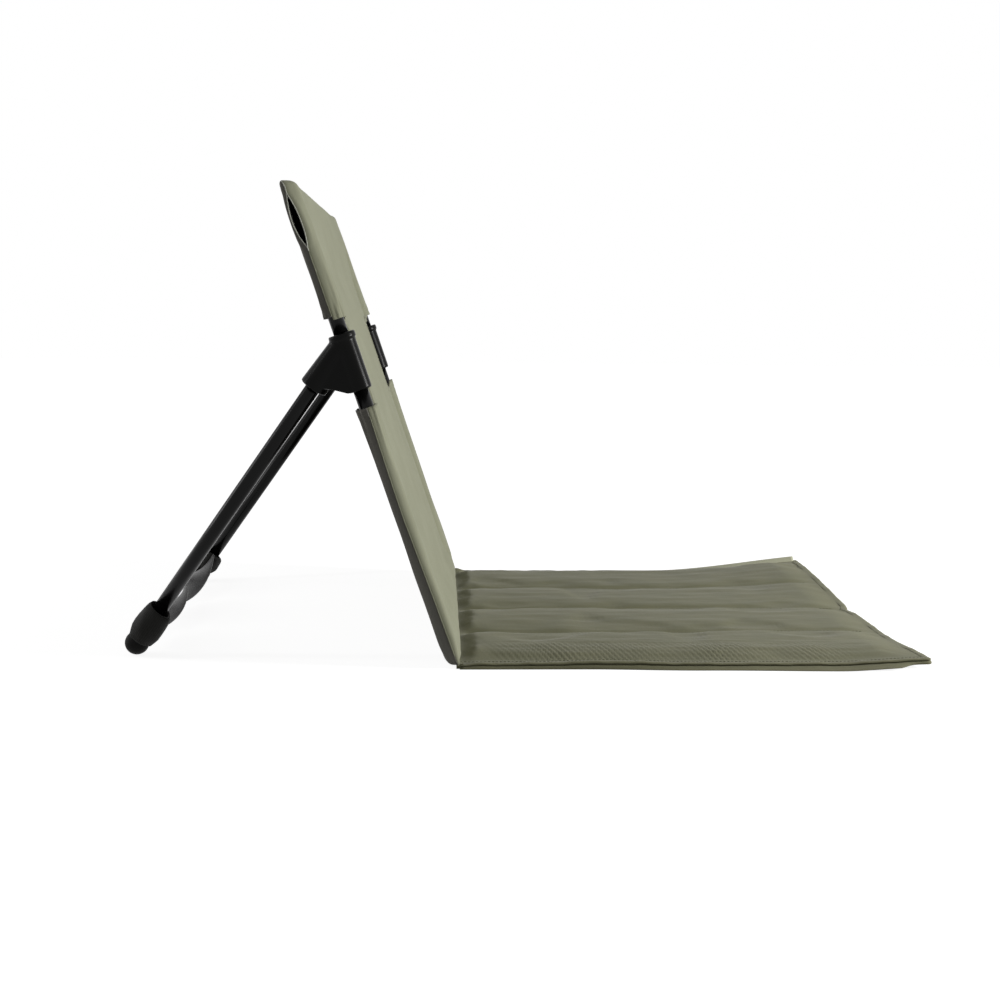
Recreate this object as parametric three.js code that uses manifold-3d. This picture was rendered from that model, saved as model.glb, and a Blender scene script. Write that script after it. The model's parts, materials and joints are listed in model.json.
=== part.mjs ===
// Padded folding ground chair: a fabric back on a tube frame, a padded seat that lies on the
// floor, and two legs behind the back that fold inwards about the back's side tubes.
// Millimetres, +X forward, +Y to the sitter's left, +Z up. The origin lies on the floor,
// under the middle of the bottom bar. Angles are in degrees.

import * as THREE from 'three';
import * as BufferGeometryUtils from 'three/addons/utils/BufferGeometryUtils.js';
import Module from 'manifold-3d';

// Driving dimensions

const fabricWidth = 400;
const seatDepth = 385;
const barSpacing = 385;
const backLean = 18.9;

const fabricGauge = 1;
const sewnGap = 0.3;
const runningGap = 0.3;
const restFlat = 0.5;
const cutOverrun = 20;

const tubeRadius = 6;
const tubeWall = 1;
const tubeInset = 16.6;
const topBendRadius = 30;
const bottomBendRadius = 20;

// Back cover
const sleeveSlack = 1.3;
const sleeveWidth = 32;
const baseSleeveRise = 28;
const topSleeveDrop = 61.3;
const upperSleeveLength = 52.7;
const notchHeight = 72.5;
const notchDepth = 62;
const topCornerRadius = 14;
const baseCornerRadius = 8;
const backPadThickness = 8;
const backPadCrown = 1.6;
const notchBindingWidth = 2;

// Seat
const creaseReach = 9.5;
const seatRearGap = 1;
const seatBindingWidth = 8;
const seatBindingHeight = 3.4;
const bindingRound = 1;
const seatHem = 5;
const seatPadRise = 6.4;
const channelCount = 4;
const flapLength = 18;
const rearRampLength = 30;
const frontRampLength = 22;
const frontHem = 8;
const farCornerLift = 15;
const nearCornerLift = 7;
const farLiftLength = 190;
const nearLiftLength = 100;
const farLiftWidth = 130;
const nearLiftWidth = 95;

// Y-connectors
const connectorRise = 42.5;
const connectorLength = 45;
const connectorRadius = 9.6;
const collarRadius = 10.3;
const collarLength = 3.2;
const stopRibThickness = 2;
const stopRibBore = 4.6;
const legRise = 16.7;
const socketRootRadius = 9.2;
const socketMouthRadius = 10.8;
const socketStart = 6;
const socketReach = 44.5;
const legInset = 16;
const webThickness = 11;
const webDrop = 38.1;
const webToe = 6;

// Legs
const legAngle = 53.9;
const legSplay = 7.3;
const footRadius = 9.8;
const footFlat = 0.5;
const footShankRadius = 7.9;
const footShankLength = 36;
const footFlare = 7;
const footBoreClearance = 0.3;
const footSole = 6;
const loopWidth = 26;
const loopSetback = 7.5;
const webbingGauge = 1.6;
const webbingWidth = 20;
const loopTailReach = 15;
const strapGap = 0.6;
const strapSag = 10;
const strapHalfTurns = 2;

// Counts and shares that set how finely a surface is drawn
const tubeSides = 16;
const mouldedSides = 24;
const bendSteps = 5;
const stadiumSteps = 6;
const roundSteps = 5;
const strapSteps = 40;
const strapColumns = 4;
const footSteps = 6;
const crownSteps = 6;
const channelShares = [0, 0.05, 0.18, 0.5, 0.82, 0.95];
const foamEdgeShares = [0.05, 0.18, 0.5, 0.82, 0.95];
const midStationShares = [0.14, 0.32, 0.5, 0.66, 0.8, 0.92];
const rampShares = [0, 0.33, 0.66, 1];
const crownSharpness = 3;
const crownFullness = 0.6;
const socketWebShare = 0.85;

// Worked out from the driving dimensions

const halfWidth = fabricWidth / 2;
const tubeSide = halfWidth - tubeInset;
const sleeveHalf = tubeRadius + sleeveSlack + fabricGauge;
const barHeight = sleeveHalf - restFlat;
const panelSide = halfWidth - sleeveWidth - sewnGap;
const notchSide = halfWidth - notchDepth;
const panelBottom = baseSleeveRise + sewnGap;
const topEdge = barSpacing + sleeveHalf;
const topSleeveBottom = topEdge - topSleeveDrop;
const panelTop = topSleeveBottom - sewnGap;
const notchTop = panelTop - upperSleeveLength;
const notchBottom = notchTop - notchHeight;
const connectorMid = notchBottom + connectorRise;
const junctionHeight = connectorMid + legRise;
const lean = THREE.MathUtils.degToRad(backLean);
const legSlant = THREE.MathUtils.degToRad(legAngle);
const splay = THREE.MathUtils.degToRad(legSplay);
const boreRadius = tubeRadius + runningGap;
const seatStart = creaseReach + seatRearGap;
const seatEnd = creaseReach + seatDepth;
const sheetGap = fabricGauge + sewnGap;

// Finishes

function finish(color, roughness, metalness) {
  return new THREE.MeshStandardMaterial({ color, roughness, metalness });
}

const frontCloth = () => finish('#7f806d', 0.85, 0);
const sideCloth = () => finish('#6f7064', 0.85, 0);
const foamFinish = () => finish('#d9d6c8', 0.95, 0);
const tubeFinish = () => finish('#101010', 0.3, 0.6);
const mouldedFinish = () => finish('#161615', 0.45, 0);
const rubberFinish = () => finish('#1f2020', 0.7, 0);
const webbingFinish = () => finish('#1b1b1a', 0.9, 0);

// Mesh and solid helpers

const wasm = await Module();
wasm.setup();

function toSolid(geometry) {
  const bare = geometry.clone();
  bare.deleteAttribute('normal');
  bare.deleteAttribute('uv');
  const merged = BufferGeometryUtils.mergeVertices(bare);
  const vertProperties = Float32Array.from(merged.attributes.position.array);
  const triVerts = Uint32Array.from(merged.index.array);
  return new wasm.Manifold(new wasm.Mesh({ numProp: 3, vertProperties, triVerts }));
}

function toGeometry(solid) {
  const mesh = solid.getMesh();
  const geometry = new THREE.BufferGeometry();
  geometry.setAttribute('position', new THREE.BufferAttribute(Float32Array.from(mesh.vertProperties), 3));
  geometry.setIndex(Array.from(mesh.triVerts));
  return geometry;
}

function join(geometries) {
  const solids = geometries.map(toSolid);
  return toGeometry(solids.reduce((whole, next) => whole.add(next)));
}

function cut(geometry, cutters) {
  const solids = cutters.map(toSolid);
  return toGeometry(solids.reduce((whole, next) => whole.subtract(next), toSolid(geometry)));
}

function overlap(geometry, other) {
  return toGeometry(toSolid(geometry).intersect(toSolid(other)));
}

// An indexed mesh with its faces turned outwards
function shell(points, faces) {
  let volume = 0;
  for (const [a, b, c] of faces) {
    volume += points[a].dot(new THREE.Vector3().crossVectors(points[b], points[c]));
  }
  const outward = volume < 0 ? faces.map(([a, b, c]) => [a, c, b]) : faces;
  const geometry = new THREE.BufferGeometry();
  geometry.setFromPoints(points);
  geometry.setIndex(outward.flat());
  return geometry;
}

// A solid through a row of closed rings of points, capped at both ends
function loft(rings) {
  const size = rings[0].length;
  const faces = [];
  for (let ring = 0; ring < rings.length - 1; ring += 1) {
    for (let side = 0; side < size; side += 1) {
      const here = ring * size + side;
      const next = ring * size + ((side + 1) % size);
      faces.push([here, next, next + size]);
      faces.push([here, next + size, here + size]);
    }
  }
  const last = (rings.length - 1) * size;
  for (let side = 1; side < size - 1; side += 1) {
    faces.push([0, side + 1, side]);
    faces.push([last, last + side, last + side + 1]);
  }
  return shell(rings.flat(), faces);
}

// A pipe: outer and inner rings, joined by an annulus at both ends
function pipe(outerRings, innerRings) {
  const size = outerRings[0].length;
  const count = outerRings.length;
  const inner = count * size;
  const last = (count - 1) * size;
  const faces = [];
  for (let side = 0; side < size; side += 1) {
    const next = (side + 1) % size;
    for (let ring = 0; ring < count - 1; ring += 1) {
      const a = ring * size + side;
      const b = ring * size + next;
      faces.push([a, b, b + size], [a, b + size, a + size]);
      faces.push([inner + a, inner + b + size, inner + b], [inner + a, inner + a + size, inner + b + size]);
    }
    faces.push([side, inner + next, next], [side, inner + side, inner + next]);
    faces.push([last + side, last + next, inner + last + next]);
    faces.push([last + side, inner + last + next, inner + last + side]);
  }
  return shell([...outerRings.flat(), ...innerRings.flat()], faces);
}

// A solid between two height fields over one grid of x and y stations
function quilt(xs, ys, topHeight, bottomHeight) {
  const rows = xs.length;
  const columns = ys.length;
  const heights = [topHeight, bottomHeight];
  const points = heights.flatMap((height) => xs.flatMap((x) => ys.map((y) => new THREE.Vector3(x, y, height(x, y)))));
  const under = rows * columns;
  const faces = [];
  for (let row = 0; row < rows - 1; row += 1) {
    for (let column = 0; column < columns - 1; column += 1) {
      const a = row * columns + column;
      const b = a + columns;
      faces.push([a, b, b + 1], [a, b + 1, a + 1]);
      faces.push([under + a, under + b + 1, under + b], [under + a, under + a + 1, under + b + 1]);
    }
  }
  const rim = [];
  for (let column = 0; column < columns; column += 1) rim.push(column);
  for (let row = 1; row < rows; row += 1) rim.push(row * columns + columns - 1);
  for (let column = columns - 2; column >= 0; column -= 1) rim.push((rows - 1) * columns + column);
  for (let row = rows - 2; row > 0; row -= 1) rim.push(row * columns);
  rim.forEach((a, place) => {
    const b = rim[(place + 1) % rim.length];
    faces.push([a, b, under + b], [a, under + b, under + a]);
  });
  return shell(points, faces);
}

function box(low, high) {
  const size = new THREE.Vector3().subVectors(high, low);
  const middle = new THREE.Vector3().addVectors(high, low).multiplyScalar(1 / 2);
  const geometry = new THREE.BoxGeometry(size.x, size.y, size.z);
  return geometry.translate(middle.x, middle.y, middle.z);
}

// A round bar, or a cone, upright on the z axis between two heights
function upright(lowRadius, highRadius, low, high, sides) {
  const geometry = new THREE.CylinderGeometry(highRadius, lowRadius, high - low, sides);
  return geometry.rotateX(Math.PI / 2).translate(0, 0, (low + high) / 2);
}

// A stadium outline with its round ends at y = low and y = high
function stadium(half, low, high) {
  const shape = new THREE.Shape();
  shape.absarc(0, high - half, half, 0, Math.PI);
  shape.absarc(0, low + half, half, Math.PI, 2 * Math.PI);
  return shape;
}

function stadiumRing(half, low, high, length) {
  const shape = stadium(half, low, high);
  shape.holes.push(stadium(half - fabricGauge, low + fabricGauge, high - fabricGauge));
  const settings = { depth: length, steps: 1, bevelEnabled: false, curveSegments: stadiumSteps };
  return new THREE.ExtrudeGeometry(shape, settings);
}

function place(parent, name, geometry, material) {
  const mesh = new THREE.Mesh(geometry, material);
  mesh.name = name;
  parent.add(mesh);
  return mesh;
}

// Groups: the back leans, and each leg group sits on its side tube inside the back

const chair = new THREE.Group();
const back = new THREE.Group();
back.position.z = barHeight;
back.rotation.y = -lean;
chair.add(back);

const sides = [
  { word: 'left', sign: 1 },
  { word: 'right', sign: -1 },
];

for (const side of sides) {
  side.leg = new THREE.Group();
  side.leg.position.set(0, side.sign * tubeSide, junctionHeight);
  side.leg.rotation.z = side.sign * splay;
  side.shaft = new THREE.Group();
  side.shaft.rotation.y = legSlant;
  side.leg.add(side.shaft);
  back.add(side.leg);
}
chair.updateMatrixWorld(true);

// A block under the floor, seen from a group, to press its pieces flat where they stand
function floorCutter(group) {
  const reach = fabricWidth + seatDepth;
  const low = new THREE.Vector3(-reach, -reach, -cutOverrun);
  const high = new THREE.Vector3(reach, reach, 0);
  return box(low, high).applyMatrix4(group.matrixWorld.clone().invert());
}

// Back frame: two bent tubes that meet inside the connectors

function bentTube(armLength, bendRadius) {
  const stations = [{ y: -tubeSide, z: armLength, turn: 0 }];
  for (const sign of [-1, 1]) {
    for (let step = 0; step <= bendSteps; step += 1) {
      const share = sign < 0 ? step / bendSteps : 1 - step / bendSteps;
      const angle = (share * Math.PI) / 2;
      const y = sign * (tubeSide - bendRadius + bendRadius * Math.cos(angle));
      const z = bendRadius - bendRadius * Math.sin(angle);
      stations.push({ y, z, turn: sign < 0 ? angle : Math.PI - angle });
    }
  }
  stations.push({ y: tubeSide, z: armLength, turn: Math.PI });
  const ringsOf = (radius) => stations.map(({ y, z, turn }) => {
    const ring = [];
    for (let side = 0; side < tubeSides; side += 1) {
      const angle = (side / tubeSides) * 2 * Math.PI;
      const outward = radius * Math.sin(angle);
      const offset = new THREE.Vector3(radius * Math.cos(angle), outward * Math.cos(turn), outward * Math.sin(turn));
      ring.push(new THREE.Vector3(0, y, z).add(offset));
    }
    return ring;
  });
  return pipe(ringsOf(tubeRadius), ringsOf(tubeRadius - tubeWall));
}

function backFrame() {
  const tubeEnd = stopRibThickness / 2 + runningGap;
  const lowerTube = bentTube(connectorMid - tubeEnd, bottomBendRadius);
  const upperTube = bentTube(barSpacing - connectorMid - tubeEnd, topBendRadius);
  upperTube.rotateX(Math.PI).translate(0, 0, barSpacing);
  place(back, 'lower_back_tube', lowerTube, tubeFinish());
  place(back, 'upper_back_tube', upperTube, tubeFinish());
}

// Back cover: sleeves round the tubes and bars, and a thin padded panel between them

function roundedSlab(low, high, lowRadius, highRadius) {
  const shape = new THREE.Shape();
  const quarter = Math.PI / 2;
  shape.absarc(halfWidth - highRadius, high - highRadius, highRadius, 0, quarter);
  shape.absarc(-halfWidth + highRadius, high - highRadius, highRadius, quarter, 2 * quarter);
  shape.absarc(-halfWidth + lowRadius, low + lowRadius, lowRadius, 2 * quarter, 3 * quarter);
  shape.absarc(halfWidth - lowRadius, low + lowRadius, lowRadius, 3 * quarter, 4 * quarter);
  const depth = sleeveHalf * 2 + cutOverrun * 2;
  const settings = { depth, steps: 1, bevelEnabled: false, curveSegments: roundSteps };
  const slab = new THREE.ExtrudeGeometry(shape, settings).translate(0, 0, -depth / 2);
  return slab.rotateX(Math.PI / 2).rotateZ(Math.PI / 2);
}

function crossSleeve(low, high) {
  const ring = stadiumRing(sleeveHalf, low, high, fabricWidth);
  return ring.rotateX(Math.PI / 2).translate(0, halfWidth, 0);
}

function tubeHoles(low, high) {
  return sides.map(({ sign }) => upright(boreRadius, boreRadius, low, high, tubeSides).translate(0, sign * tubeSide, 0));
}

function coverSleeves() {
  const holeReach = sleeveHalf + sewnGap;
  const baseRing = crossSleeve(-sleeveHalf, baseSleeveRise);
  const baseSlab = roundedSlab(-sleeveHalf, baseSleeveRise + cutOverrun, baseCornerRadius, baseCornerRadius);
  const baseHoles = tubeHoles(baseSleeveRise - holeReach, baseSleeveRise + holeReach);
  const baseSleeve = cut(overlap(baseRing, baseSlab), [...baseHoles, floorCutter(back)]);
  place(back, 'base_sleeve', baseSleeve, sideCloth());

  const topRing = crossSleeve(topSleeveBottom, topEdge);
  const topSlab = roundedSlab(topSleeveBottom - cutOverrun, topEdge, topCornerRadius, topCornerRadius);
  const topHoles = tubeHoles(topSleeveBottom - holeReach, topSleeveBottom + holeReach);
  place(back, 'top_sleeve', cut(overlap(topRing, topSlab), topHoles), frontCloth());

  for (const { word, sign } of sides) {
    const spans = { lower: [panelBottom, notchBottom], upper: [notchTop, panelTop] };
    for (const [level, [low, high]] of Object.entries(spans)) {
      const sleeve = stadiumRing(sleeveHalf, halfWidth - sleeveWidth, halfWidth, high - low);
      sleeve.rotateZ(sign < 0 ? Math.PI : 0).translate(0, 0, low);
      place(back, `${word}_${level}_sleeve`, sleeve, sideCloth());
    }
  }
}

// The cloth runs on from the base sleeve to the seat as a thin strip on the floor
function creaseStrip() {
  const seatOn = sleeveHalf + sewnGap;
  const strip = new THREE.Shape();
  strip.moveTo(Math.sqrt(seatOn ** 2 - barHeight ** 2), 0);
  strip.lineTo(seatStart - sewnGap, 0);
  strip.lineTo(seatStart - sewnGap, fabricGauge);
  strip.lineTo(Math.sqrt(seatOn ** 2 - (barHeight - fabricGauge) ** 2), fabricGauge);
  const settings = { depth: fabricWidth, steps: 1, bevelEnabled: false };
  const cloth = new THREE.ExtrudeGeometry(strip, settings).rotateX(Math.PI / 2);
  place(chair, 'crease_strip', cloth.translate(0, halfWidth, 0), sideCloth());
}

function notchCutters() {
  const reach = sleeveHalf + cutOverrun;
  return sides.map(({ sign }) => {
    const inner = sign * notchSide;
    const outer = sign * (halfWidth + cutOverrun);
    const low = new THREE.Vector3(-reach, Math.min(inner, outer), notchBottom);
    const high = new THREE.Vector3(reach, Math.max(inner, outer), notchTop);
    return box(low, high);
  });
}

function evenStations(low, high, count) {
  return Array.from({ length: count + 1 }, (_, step) => low + ((high - low) * step) / count);
}

function backPanel() {
  const face = backPadThickness / 2;
  const across = evenStations(-panelSide, panelSide, crownSteps);
  const along = evenStations(-panelTop, -panelBottom, crownSteps);
  const crown = (x, y) => {
    const widthShare = (y + panelSide) / (2 * panelSide);
    const heightShare = (-x - panelBottom) / (panelTop - panelBottom);
    return backPadCrown * Math.sin(Math.PI * widthShare) * Math.sin(Math.PI * heightShare);
  };
  const front = quilt(along, across, (x, y) => face + crown(x, y), (x, y) => face - fabricGauge + crown(x, y));
  place(back, 'back_front_panel', cut(front.rotateY(Math.PI / 2), notchCutters()), frontCloth());

  const rearLow = new THREE.Vector3(-face, -panelSide, panelBottom);
  const rearHigh = new THREE.Vector3(fabricGauge - face, panelSide, panelTop);
  place(back, 'back_rear_panel', cut(box(rearLow, rearHigh), notchCutters()), sideCloth());

  const foamFace = face - sheetGap;
  const foamLow = new THREE.Vector3(-foamFace, -panelSide, panelBottom);
  const foamHigh = new THREE.Vector3(foamFace, panelSide, panelTop);
  place(back, 'back_foam', cut(box(foamLow, foamHigh), notchCutters()), foamFinish());

  for (const { word, sign } of sides) {
    const inner = sign * (notchSide + sewnGap);
    const outer = sign * (notchSide + sewnGap + notchBindingWidth);
    const low = new THREE.Vector3(-face, Math.min(inner, outer), notchBottom + sewnGap);
    const high = new THREE.Vector3(face, Math.max(inner, outer), notchTop - sewnGap);
    place(back, `${word}_notch_binding`, box(low, high), sideCloth());
  }
}

// Seat: two sheets sewn into four channels, each filled with a foam strip, and a bound edge

const smooth = (share) => THREE.MathUtils.smoothstep(share, 0, 1);
const sheetSide = halfWidth - seatBindingWidth - sewnGap;
const channelSide = sheetSide - seatHem;
const channelWidth = (2 * channelSide) / channelCount;
const sheetEnd = seatEnd - seatBindingWidth - sewnGap;
const rearRampStart = seatStart + flapLength;
const rearRampEnd = rearRampStart + rearRampLength;
const frontRampEnd = sheetEnd - frontHem;
const frontRampStart = frontRampEnd - frontRampLength;

function lift(x, y) {
  const farAlong = smooth((x - (seatEnd - farLiftLength)) / farLiftLength);
  const farAcross = smooth((y - (halfWidth - farLiftWidth)) / farLiftWidth);
  const nearAlong = smooth((x - (seatEnd - nearLiftLength)) / nearLiftLength);
  const nearAcross = smooth((-y - (halfWidth - nearLiftWidth)) / nearLiftWidth);
  return farCornerLift * farAlong * farAcross + nearCornerLift * nearAlong * nearAcross;
}

function padRise(x, y) {
  const channelShare = (y + channelSide) / channelWidth;
  if (channelShare <= 0 || channelShare >= channelCount) return 0;
  const across = Math.abs(2 * (channelShare - Math.floor(channelShare)) - 1);
  const crown = (1 - across ** crownSharpness) ** crownFullness;
  const rear = smooth((x - rearRampStart) / rearRampLength);
  const front = smooth((frontRampEnd - x) / frontRampLength);
  return seatPadRise * crown * rear * front;
}

function seatPieces() {
  const rearRamp = rampShares.map((share) => rearRampStart + share * rearRampLength);
  const middle = midStationShares.map((share) => rearRampEnd + share * (frontRampStart - rearRampEnd));
  const frontRamp = rampShares.map((share) => frontRampStart + share * frontRampLength);
  const xs = [seatStart, ...rearRamp, ...middle, ...frontRamp, sheetEnd];
  const ys = [-sheetSide];
  for (let channel = 0; channel < channelCount; channel += 1) {
    for (const share of channelShares) ys.push(-channelSide + (channel + share) * channelWidth);
  }
  ys.push(channelSide, sheetSide);

  const topUnder = (x, y) => lift(x, y) + sheetGap + padRise(x, y);
  const top = quilt(xs, ys, (x, y) => topUnder(x, y) + fabricGauge, topUnder);
  place(chair, 'seat_top_fabric', top, frontCloth());
  const bottom = quilt(xs, ys, (x, y) => lift(x, y) + fabricGauge, lift);
  place(chair, 'seat_bottom_fabric', bottom, sideCloth());

  const foamXs = [...rearRamp.slice(2), ...middle, ...frontRamp.slice(0, 2)];
  for (let channel = 0; channel < channelCount; channel += 1) {
    const foamYs = foamEdgeShares.map((share) => -channelSide + (channel + share) * channelWidth);
    const foamTop = (x, y) => topUnder(x, y) - sewnGap;
    const foamUnder = (x, y) => lift(x, y) + sheetGap;
    place(chair, `seat_foam_${channel + 1}`, quilt(foamXs, foamYs, foamTop, foamUnder), foamFinish());
  }
  seatBinding(xs, ys);
}

function seatBinding(xs, ys) {
  const outline = [
    [0, 0],
    [seatBindingWidth - bindingRound, 0],
    [seatBindingWidth, bindingRound],
    [seatBindingWidth, seatBindingHeight - bindingRound],
    [seatBindingWidth - bindingRound, seatBindingHeight],
    [0, seatBindingHeight],
  ];
  const innerSide = halfWidth - seatBindingWidth;
  const innerEnd = seatEnd - seatBindingWidth;
  const sideXs = xs.slice(0, -1);
  const frontYs = ys.slice(1, -1);
  const route = [
    ...sideXs.map((x) => ({ x, y: -innerSide, outX: 0, outY: -1 })),
    { x: innerEnd, y: -innerSide, outX: 1, outY: -1 },
    ...frontYs.map((y) => ({ x: innerEnd, y, outX: 1, outY: 0 })),
    { x: innerEnd, y: innerSide, outX: 1, outY: 1 },
    ...sideXs.toReversed().map((x) => ({ x, y: innerSide, outX: 0, outY: 1 })),
  ];
  const rings = route.map(({ x, y, outX, outY }) => outline.map(([out, height]) => {
    const edgeX = x + out * outX;
    const edgeY = y + out * outY;
    return new THREE.Vector3(edgeX, edgeY, lift(edgeX, edgeY) + height);
  }));
  place(chair, 'seat_edge_binding', loft(rings), sideCloth());
}

// Y-connector: a sleeve on the back tubes, an angled socket for the leg, and a web between

function connector() {
  const low = -legRise - connectorLength / 2;
  const high = low + connectorLength;
  const middle = -legRise;
  const sleeve = upright(connectorRadius, connectorRadius, low, high, mouldedSides);
  const collar = upright(collarRadius, collarRadius, high - collarLength, high, mouldedSides);
  const socket = upright(socketMouthRadius, socketRootRadius, -socketReach, -socketStart, mouldedSides);
  socket.rotateY(legSlant);

  const axisX = -Math.sin(legSlant);
  const axisZ = -Math.cos(legSlant);
  const webEnd = socketReach * socketWebShare;
  const webSideX = webEnd * axisX - socketRootRadius * axisZ;
  const webSideZ = webEnd * axisZ + socketRootRadius * axisX;
  const web = new THREE.Shape();
  web.moveTo(0, 0);
  web.lineTo(webEnd * axisX, webEnd * axisZ);
  web.lineTo(webSideX, webSideZ);
  web.lineTo(-webToe, -webDrop);
  web.lineTo(0, -webDrop);
  const plate = new THREE.ExtrudeGeometry(web, { depth: webThickness, steps: 1, bevelEnabled: false });
  plate.rotateX(Math.PI / 2).translate(0, webThickness / 2, 0);

  const ribHalf = stopRibThickness / 2;
  const bores = [
    upright(boreRadius, boreRadius, middle + ribHalf, high + cutOverrun, mouldedSides),
    upright(boreRadius, boreRadius, low - cutOverrun, middle - ribHalf, mouldedSides),
    upright(stopRibBore, stopRibBore, low - cutOverrun, high + cutOverrun, mouldedSides),
    upright(boreRadius, boreRadius, -socketReach - cutOverrun, -legInset, mouldedSides).rotateY(legSlant),
  ];
  return cut(join([sleeve, collar, socket, plate]), bores);
}

// Leg: a tube, a rubber foot and a webbing loop; z runs down the leg from the back tube

function legTube(footReach) {
  const low = -footReach + footSole - footBoreClearance;
  const rings = (radius) => [-legInset - runningGap, low].map((z) => {
    const ring = [];
    for (let side = 0; side < tubeSides; side += 1) {
      const angle = (side / tubeSides) * 2 * Math.PI;
      ring.push(new THREE.Vector3(radius * Math.cos(angle), radius * Math.sin(angle), z));
    }
    return ring;
  });
  return pipe(rings(tubeRadius), rings(tubeRadius - tubeWall));
}

function foot(footReach, shaft) {
  const profile = [];
  for (let step = 0; step <= footSteps; step += 1) {
    const angle = ((step / footSteps) * Math.PI) / 2;
    profile.push(new THREE.Vector2(footRadius * Math.sin(angle), -footReach - footRadius * Math.cos(angle)));
  }
  const rim = -footReach + footShankLength;
  const bore = tubeRadius + footBoreClearance;
  profile.push(new THREE.Vector2(footShankRadius, -footReach + footFlare));
  profile.push(new THREE.Vector2(footShankRadius, rim));
  profile.push(new THREE.Vector2(bore, rim));
  profile.push(new THREE.Vector2(bore, -footReach + footSole - 2 * footBoreClearance));
  profile.push(new THREE.Vector2(0, -footReach + footSole - 2 * footBoreClearance));
  const tip = new THREE.LatheGeometry(profile, mouldedSides).rotateX(Math.PI / 2);
  return cut(tip, [floorCutter(shaft)]);
}

function footLoop(footReach, sign) {
  const inner = footShankRadius + sewnGap;
  const outer = inner + webbingGauge;
  const low = -footReach + loopSetback - sewnGap;
  const high = low + loopWidth;
  const band = upright(outer, outer, low, high, mouldedSides);
  const tailLow = new THREE.Vector3(-webbingGauge, Math.min(-sign * loopTailReach, 0), low);
  const tailHigh = new THREE.Vector3(webbingGauge, Math.max(-sign * loopTailReach, 0), high);
  const hole = upright(inner, inner, low - cutOverrun, high + cutOverrun, mouldedSides);
  return cut(join([band, box(tailLow, tailHigh)]), [hole]);
}

function legs() {
  for (const side of sides) {
    const { word, sign, leg, shaft } = side;
    const start = shaft.getWorldPosition(new THREE.Vector3());
    const along = new THREE.Vector3(0, 0, -1).transformDirection(shaft.matrixWorld);
    const footReach = (start.z - (footRadius - footFlat)) / -along.z;
    place(leg, `${word}_connector`, connector(), mouldedFinish());
    place(shaft, `${word}_leg_tube`, legTube(footReach), tubeFinish());
    place(shaft, `${word}_foot`, foot(footReach, shaft), rubberFinish());
    place(shaft, `${word}_foot_loop`, footLoop(footReach, sign), webbingFinish());
    side.along = along;
    const loopMiddle = -footReach + loopSetback - sewnGap + loopWidth / 2;
    const tailEnd = new THREE.Vector3(0, -sign * (loopTailReach + strapGap), loopMiddle);
    side.tailEnd = shaft.localToWorld(tailEnd);
  }
}

// Webbing strap between the two feet, twisted as it hangs

function footStrap() {
  const [left, right] = sides;
  const wides = evenStations(-webbingWidth / 2, webbingWidth / 2, strapColumns);
  const rings = [];
  for (let step = 0; step <= strapSteps; step += 1) {
    const share = step / strapSteps;
    const middle = new THREE.Vector3().lerpVectors(right.tailEnd, left.tailEnd, share);
    middle.z -= strapSag * Math.sin(Math.PI * share);
    const tangent = new THREE.Vector3().subVectors(left.tailEnd, right.tailEnd).normalize();
    const broad = new THREE.Vector3().lerpVectors(right.along, left.along, share).normalize();
    const turn = strapHalfTurns * Math.PI * smooth(share);
    const slope = broad.dot(tangent);
    broad.addScaledVector(tangent, -slope).applyAxisAngle(tangent, turn);
    const thin = new THREE.Vector3().crossVectors(tangent, broad).normalize();
    broad.addScaledVector(tangent, slope * Math.cos(turn));
    const edgeOf = (wides, deep) => wides.map((wide) => {
      const corner = middle.clone().addScaledVector(broad, wide);
      return corner.addScaledVector(thin, (deep * webbingGauge) / 2);
    });
    rings.push([...edgeOf(wides, 1), ...edgeOf(wides.toReversed(), -1)]);
  }
  place(chair, 'foot_strap', loft(rings), webbingFinish());
}

backFrame();
coverSleeves();
creaseStrip();
backPanel();
seatPieces();
legs();
footStrap();

export default chair;
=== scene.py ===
"""Padded folding ground chair in a plain studio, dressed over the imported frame.

The chair is a cloth cover on a bent tube frame, hinged by its cloth to a padded seat that lies on
the floor, and propped by two legs that swing in moulded connectors and are joined by a strap.
Sizes are in millimetres and are turned to metres when a mesh is made.
"""

import json
import logging
import math
from dataclasses import dataclass, field
from enum import Enum
from typing import Sequence

import bmesh
import bpy
import numpy as np
from mathutils import Matrix, Vector

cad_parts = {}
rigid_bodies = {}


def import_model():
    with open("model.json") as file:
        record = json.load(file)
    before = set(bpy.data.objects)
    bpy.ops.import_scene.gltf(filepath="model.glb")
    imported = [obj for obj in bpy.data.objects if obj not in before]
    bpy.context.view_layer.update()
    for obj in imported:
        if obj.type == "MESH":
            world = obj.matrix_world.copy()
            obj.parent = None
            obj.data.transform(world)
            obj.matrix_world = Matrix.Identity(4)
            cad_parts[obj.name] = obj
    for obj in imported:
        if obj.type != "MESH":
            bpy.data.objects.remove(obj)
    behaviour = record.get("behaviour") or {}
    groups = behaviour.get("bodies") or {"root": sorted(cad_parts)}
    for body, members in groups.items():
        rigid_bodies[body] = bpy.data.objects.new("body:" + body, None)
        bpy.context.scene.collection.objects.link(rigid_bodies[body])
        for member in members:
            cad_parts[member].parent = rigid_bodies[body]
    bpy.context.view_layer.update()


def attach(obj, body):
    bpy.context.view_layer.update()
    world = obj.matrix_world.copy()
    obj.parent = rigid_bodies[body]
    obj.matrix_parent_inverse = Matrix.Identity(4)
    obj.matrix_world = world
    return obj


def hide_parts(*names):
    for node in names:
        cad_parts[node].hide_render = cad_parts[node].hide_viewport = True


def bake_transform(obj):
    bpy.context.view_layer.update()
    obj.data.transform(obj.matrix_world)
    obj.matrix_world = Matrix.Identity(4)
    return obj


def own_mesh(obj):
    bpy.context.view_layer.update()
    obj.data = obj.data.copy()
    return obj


LOG = logging.getLogger("ground_chair")
MM = 0.001
TAU = 2 * math.pi
QUARTER = math.pi / 2
THREAD = "thread"
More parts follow.
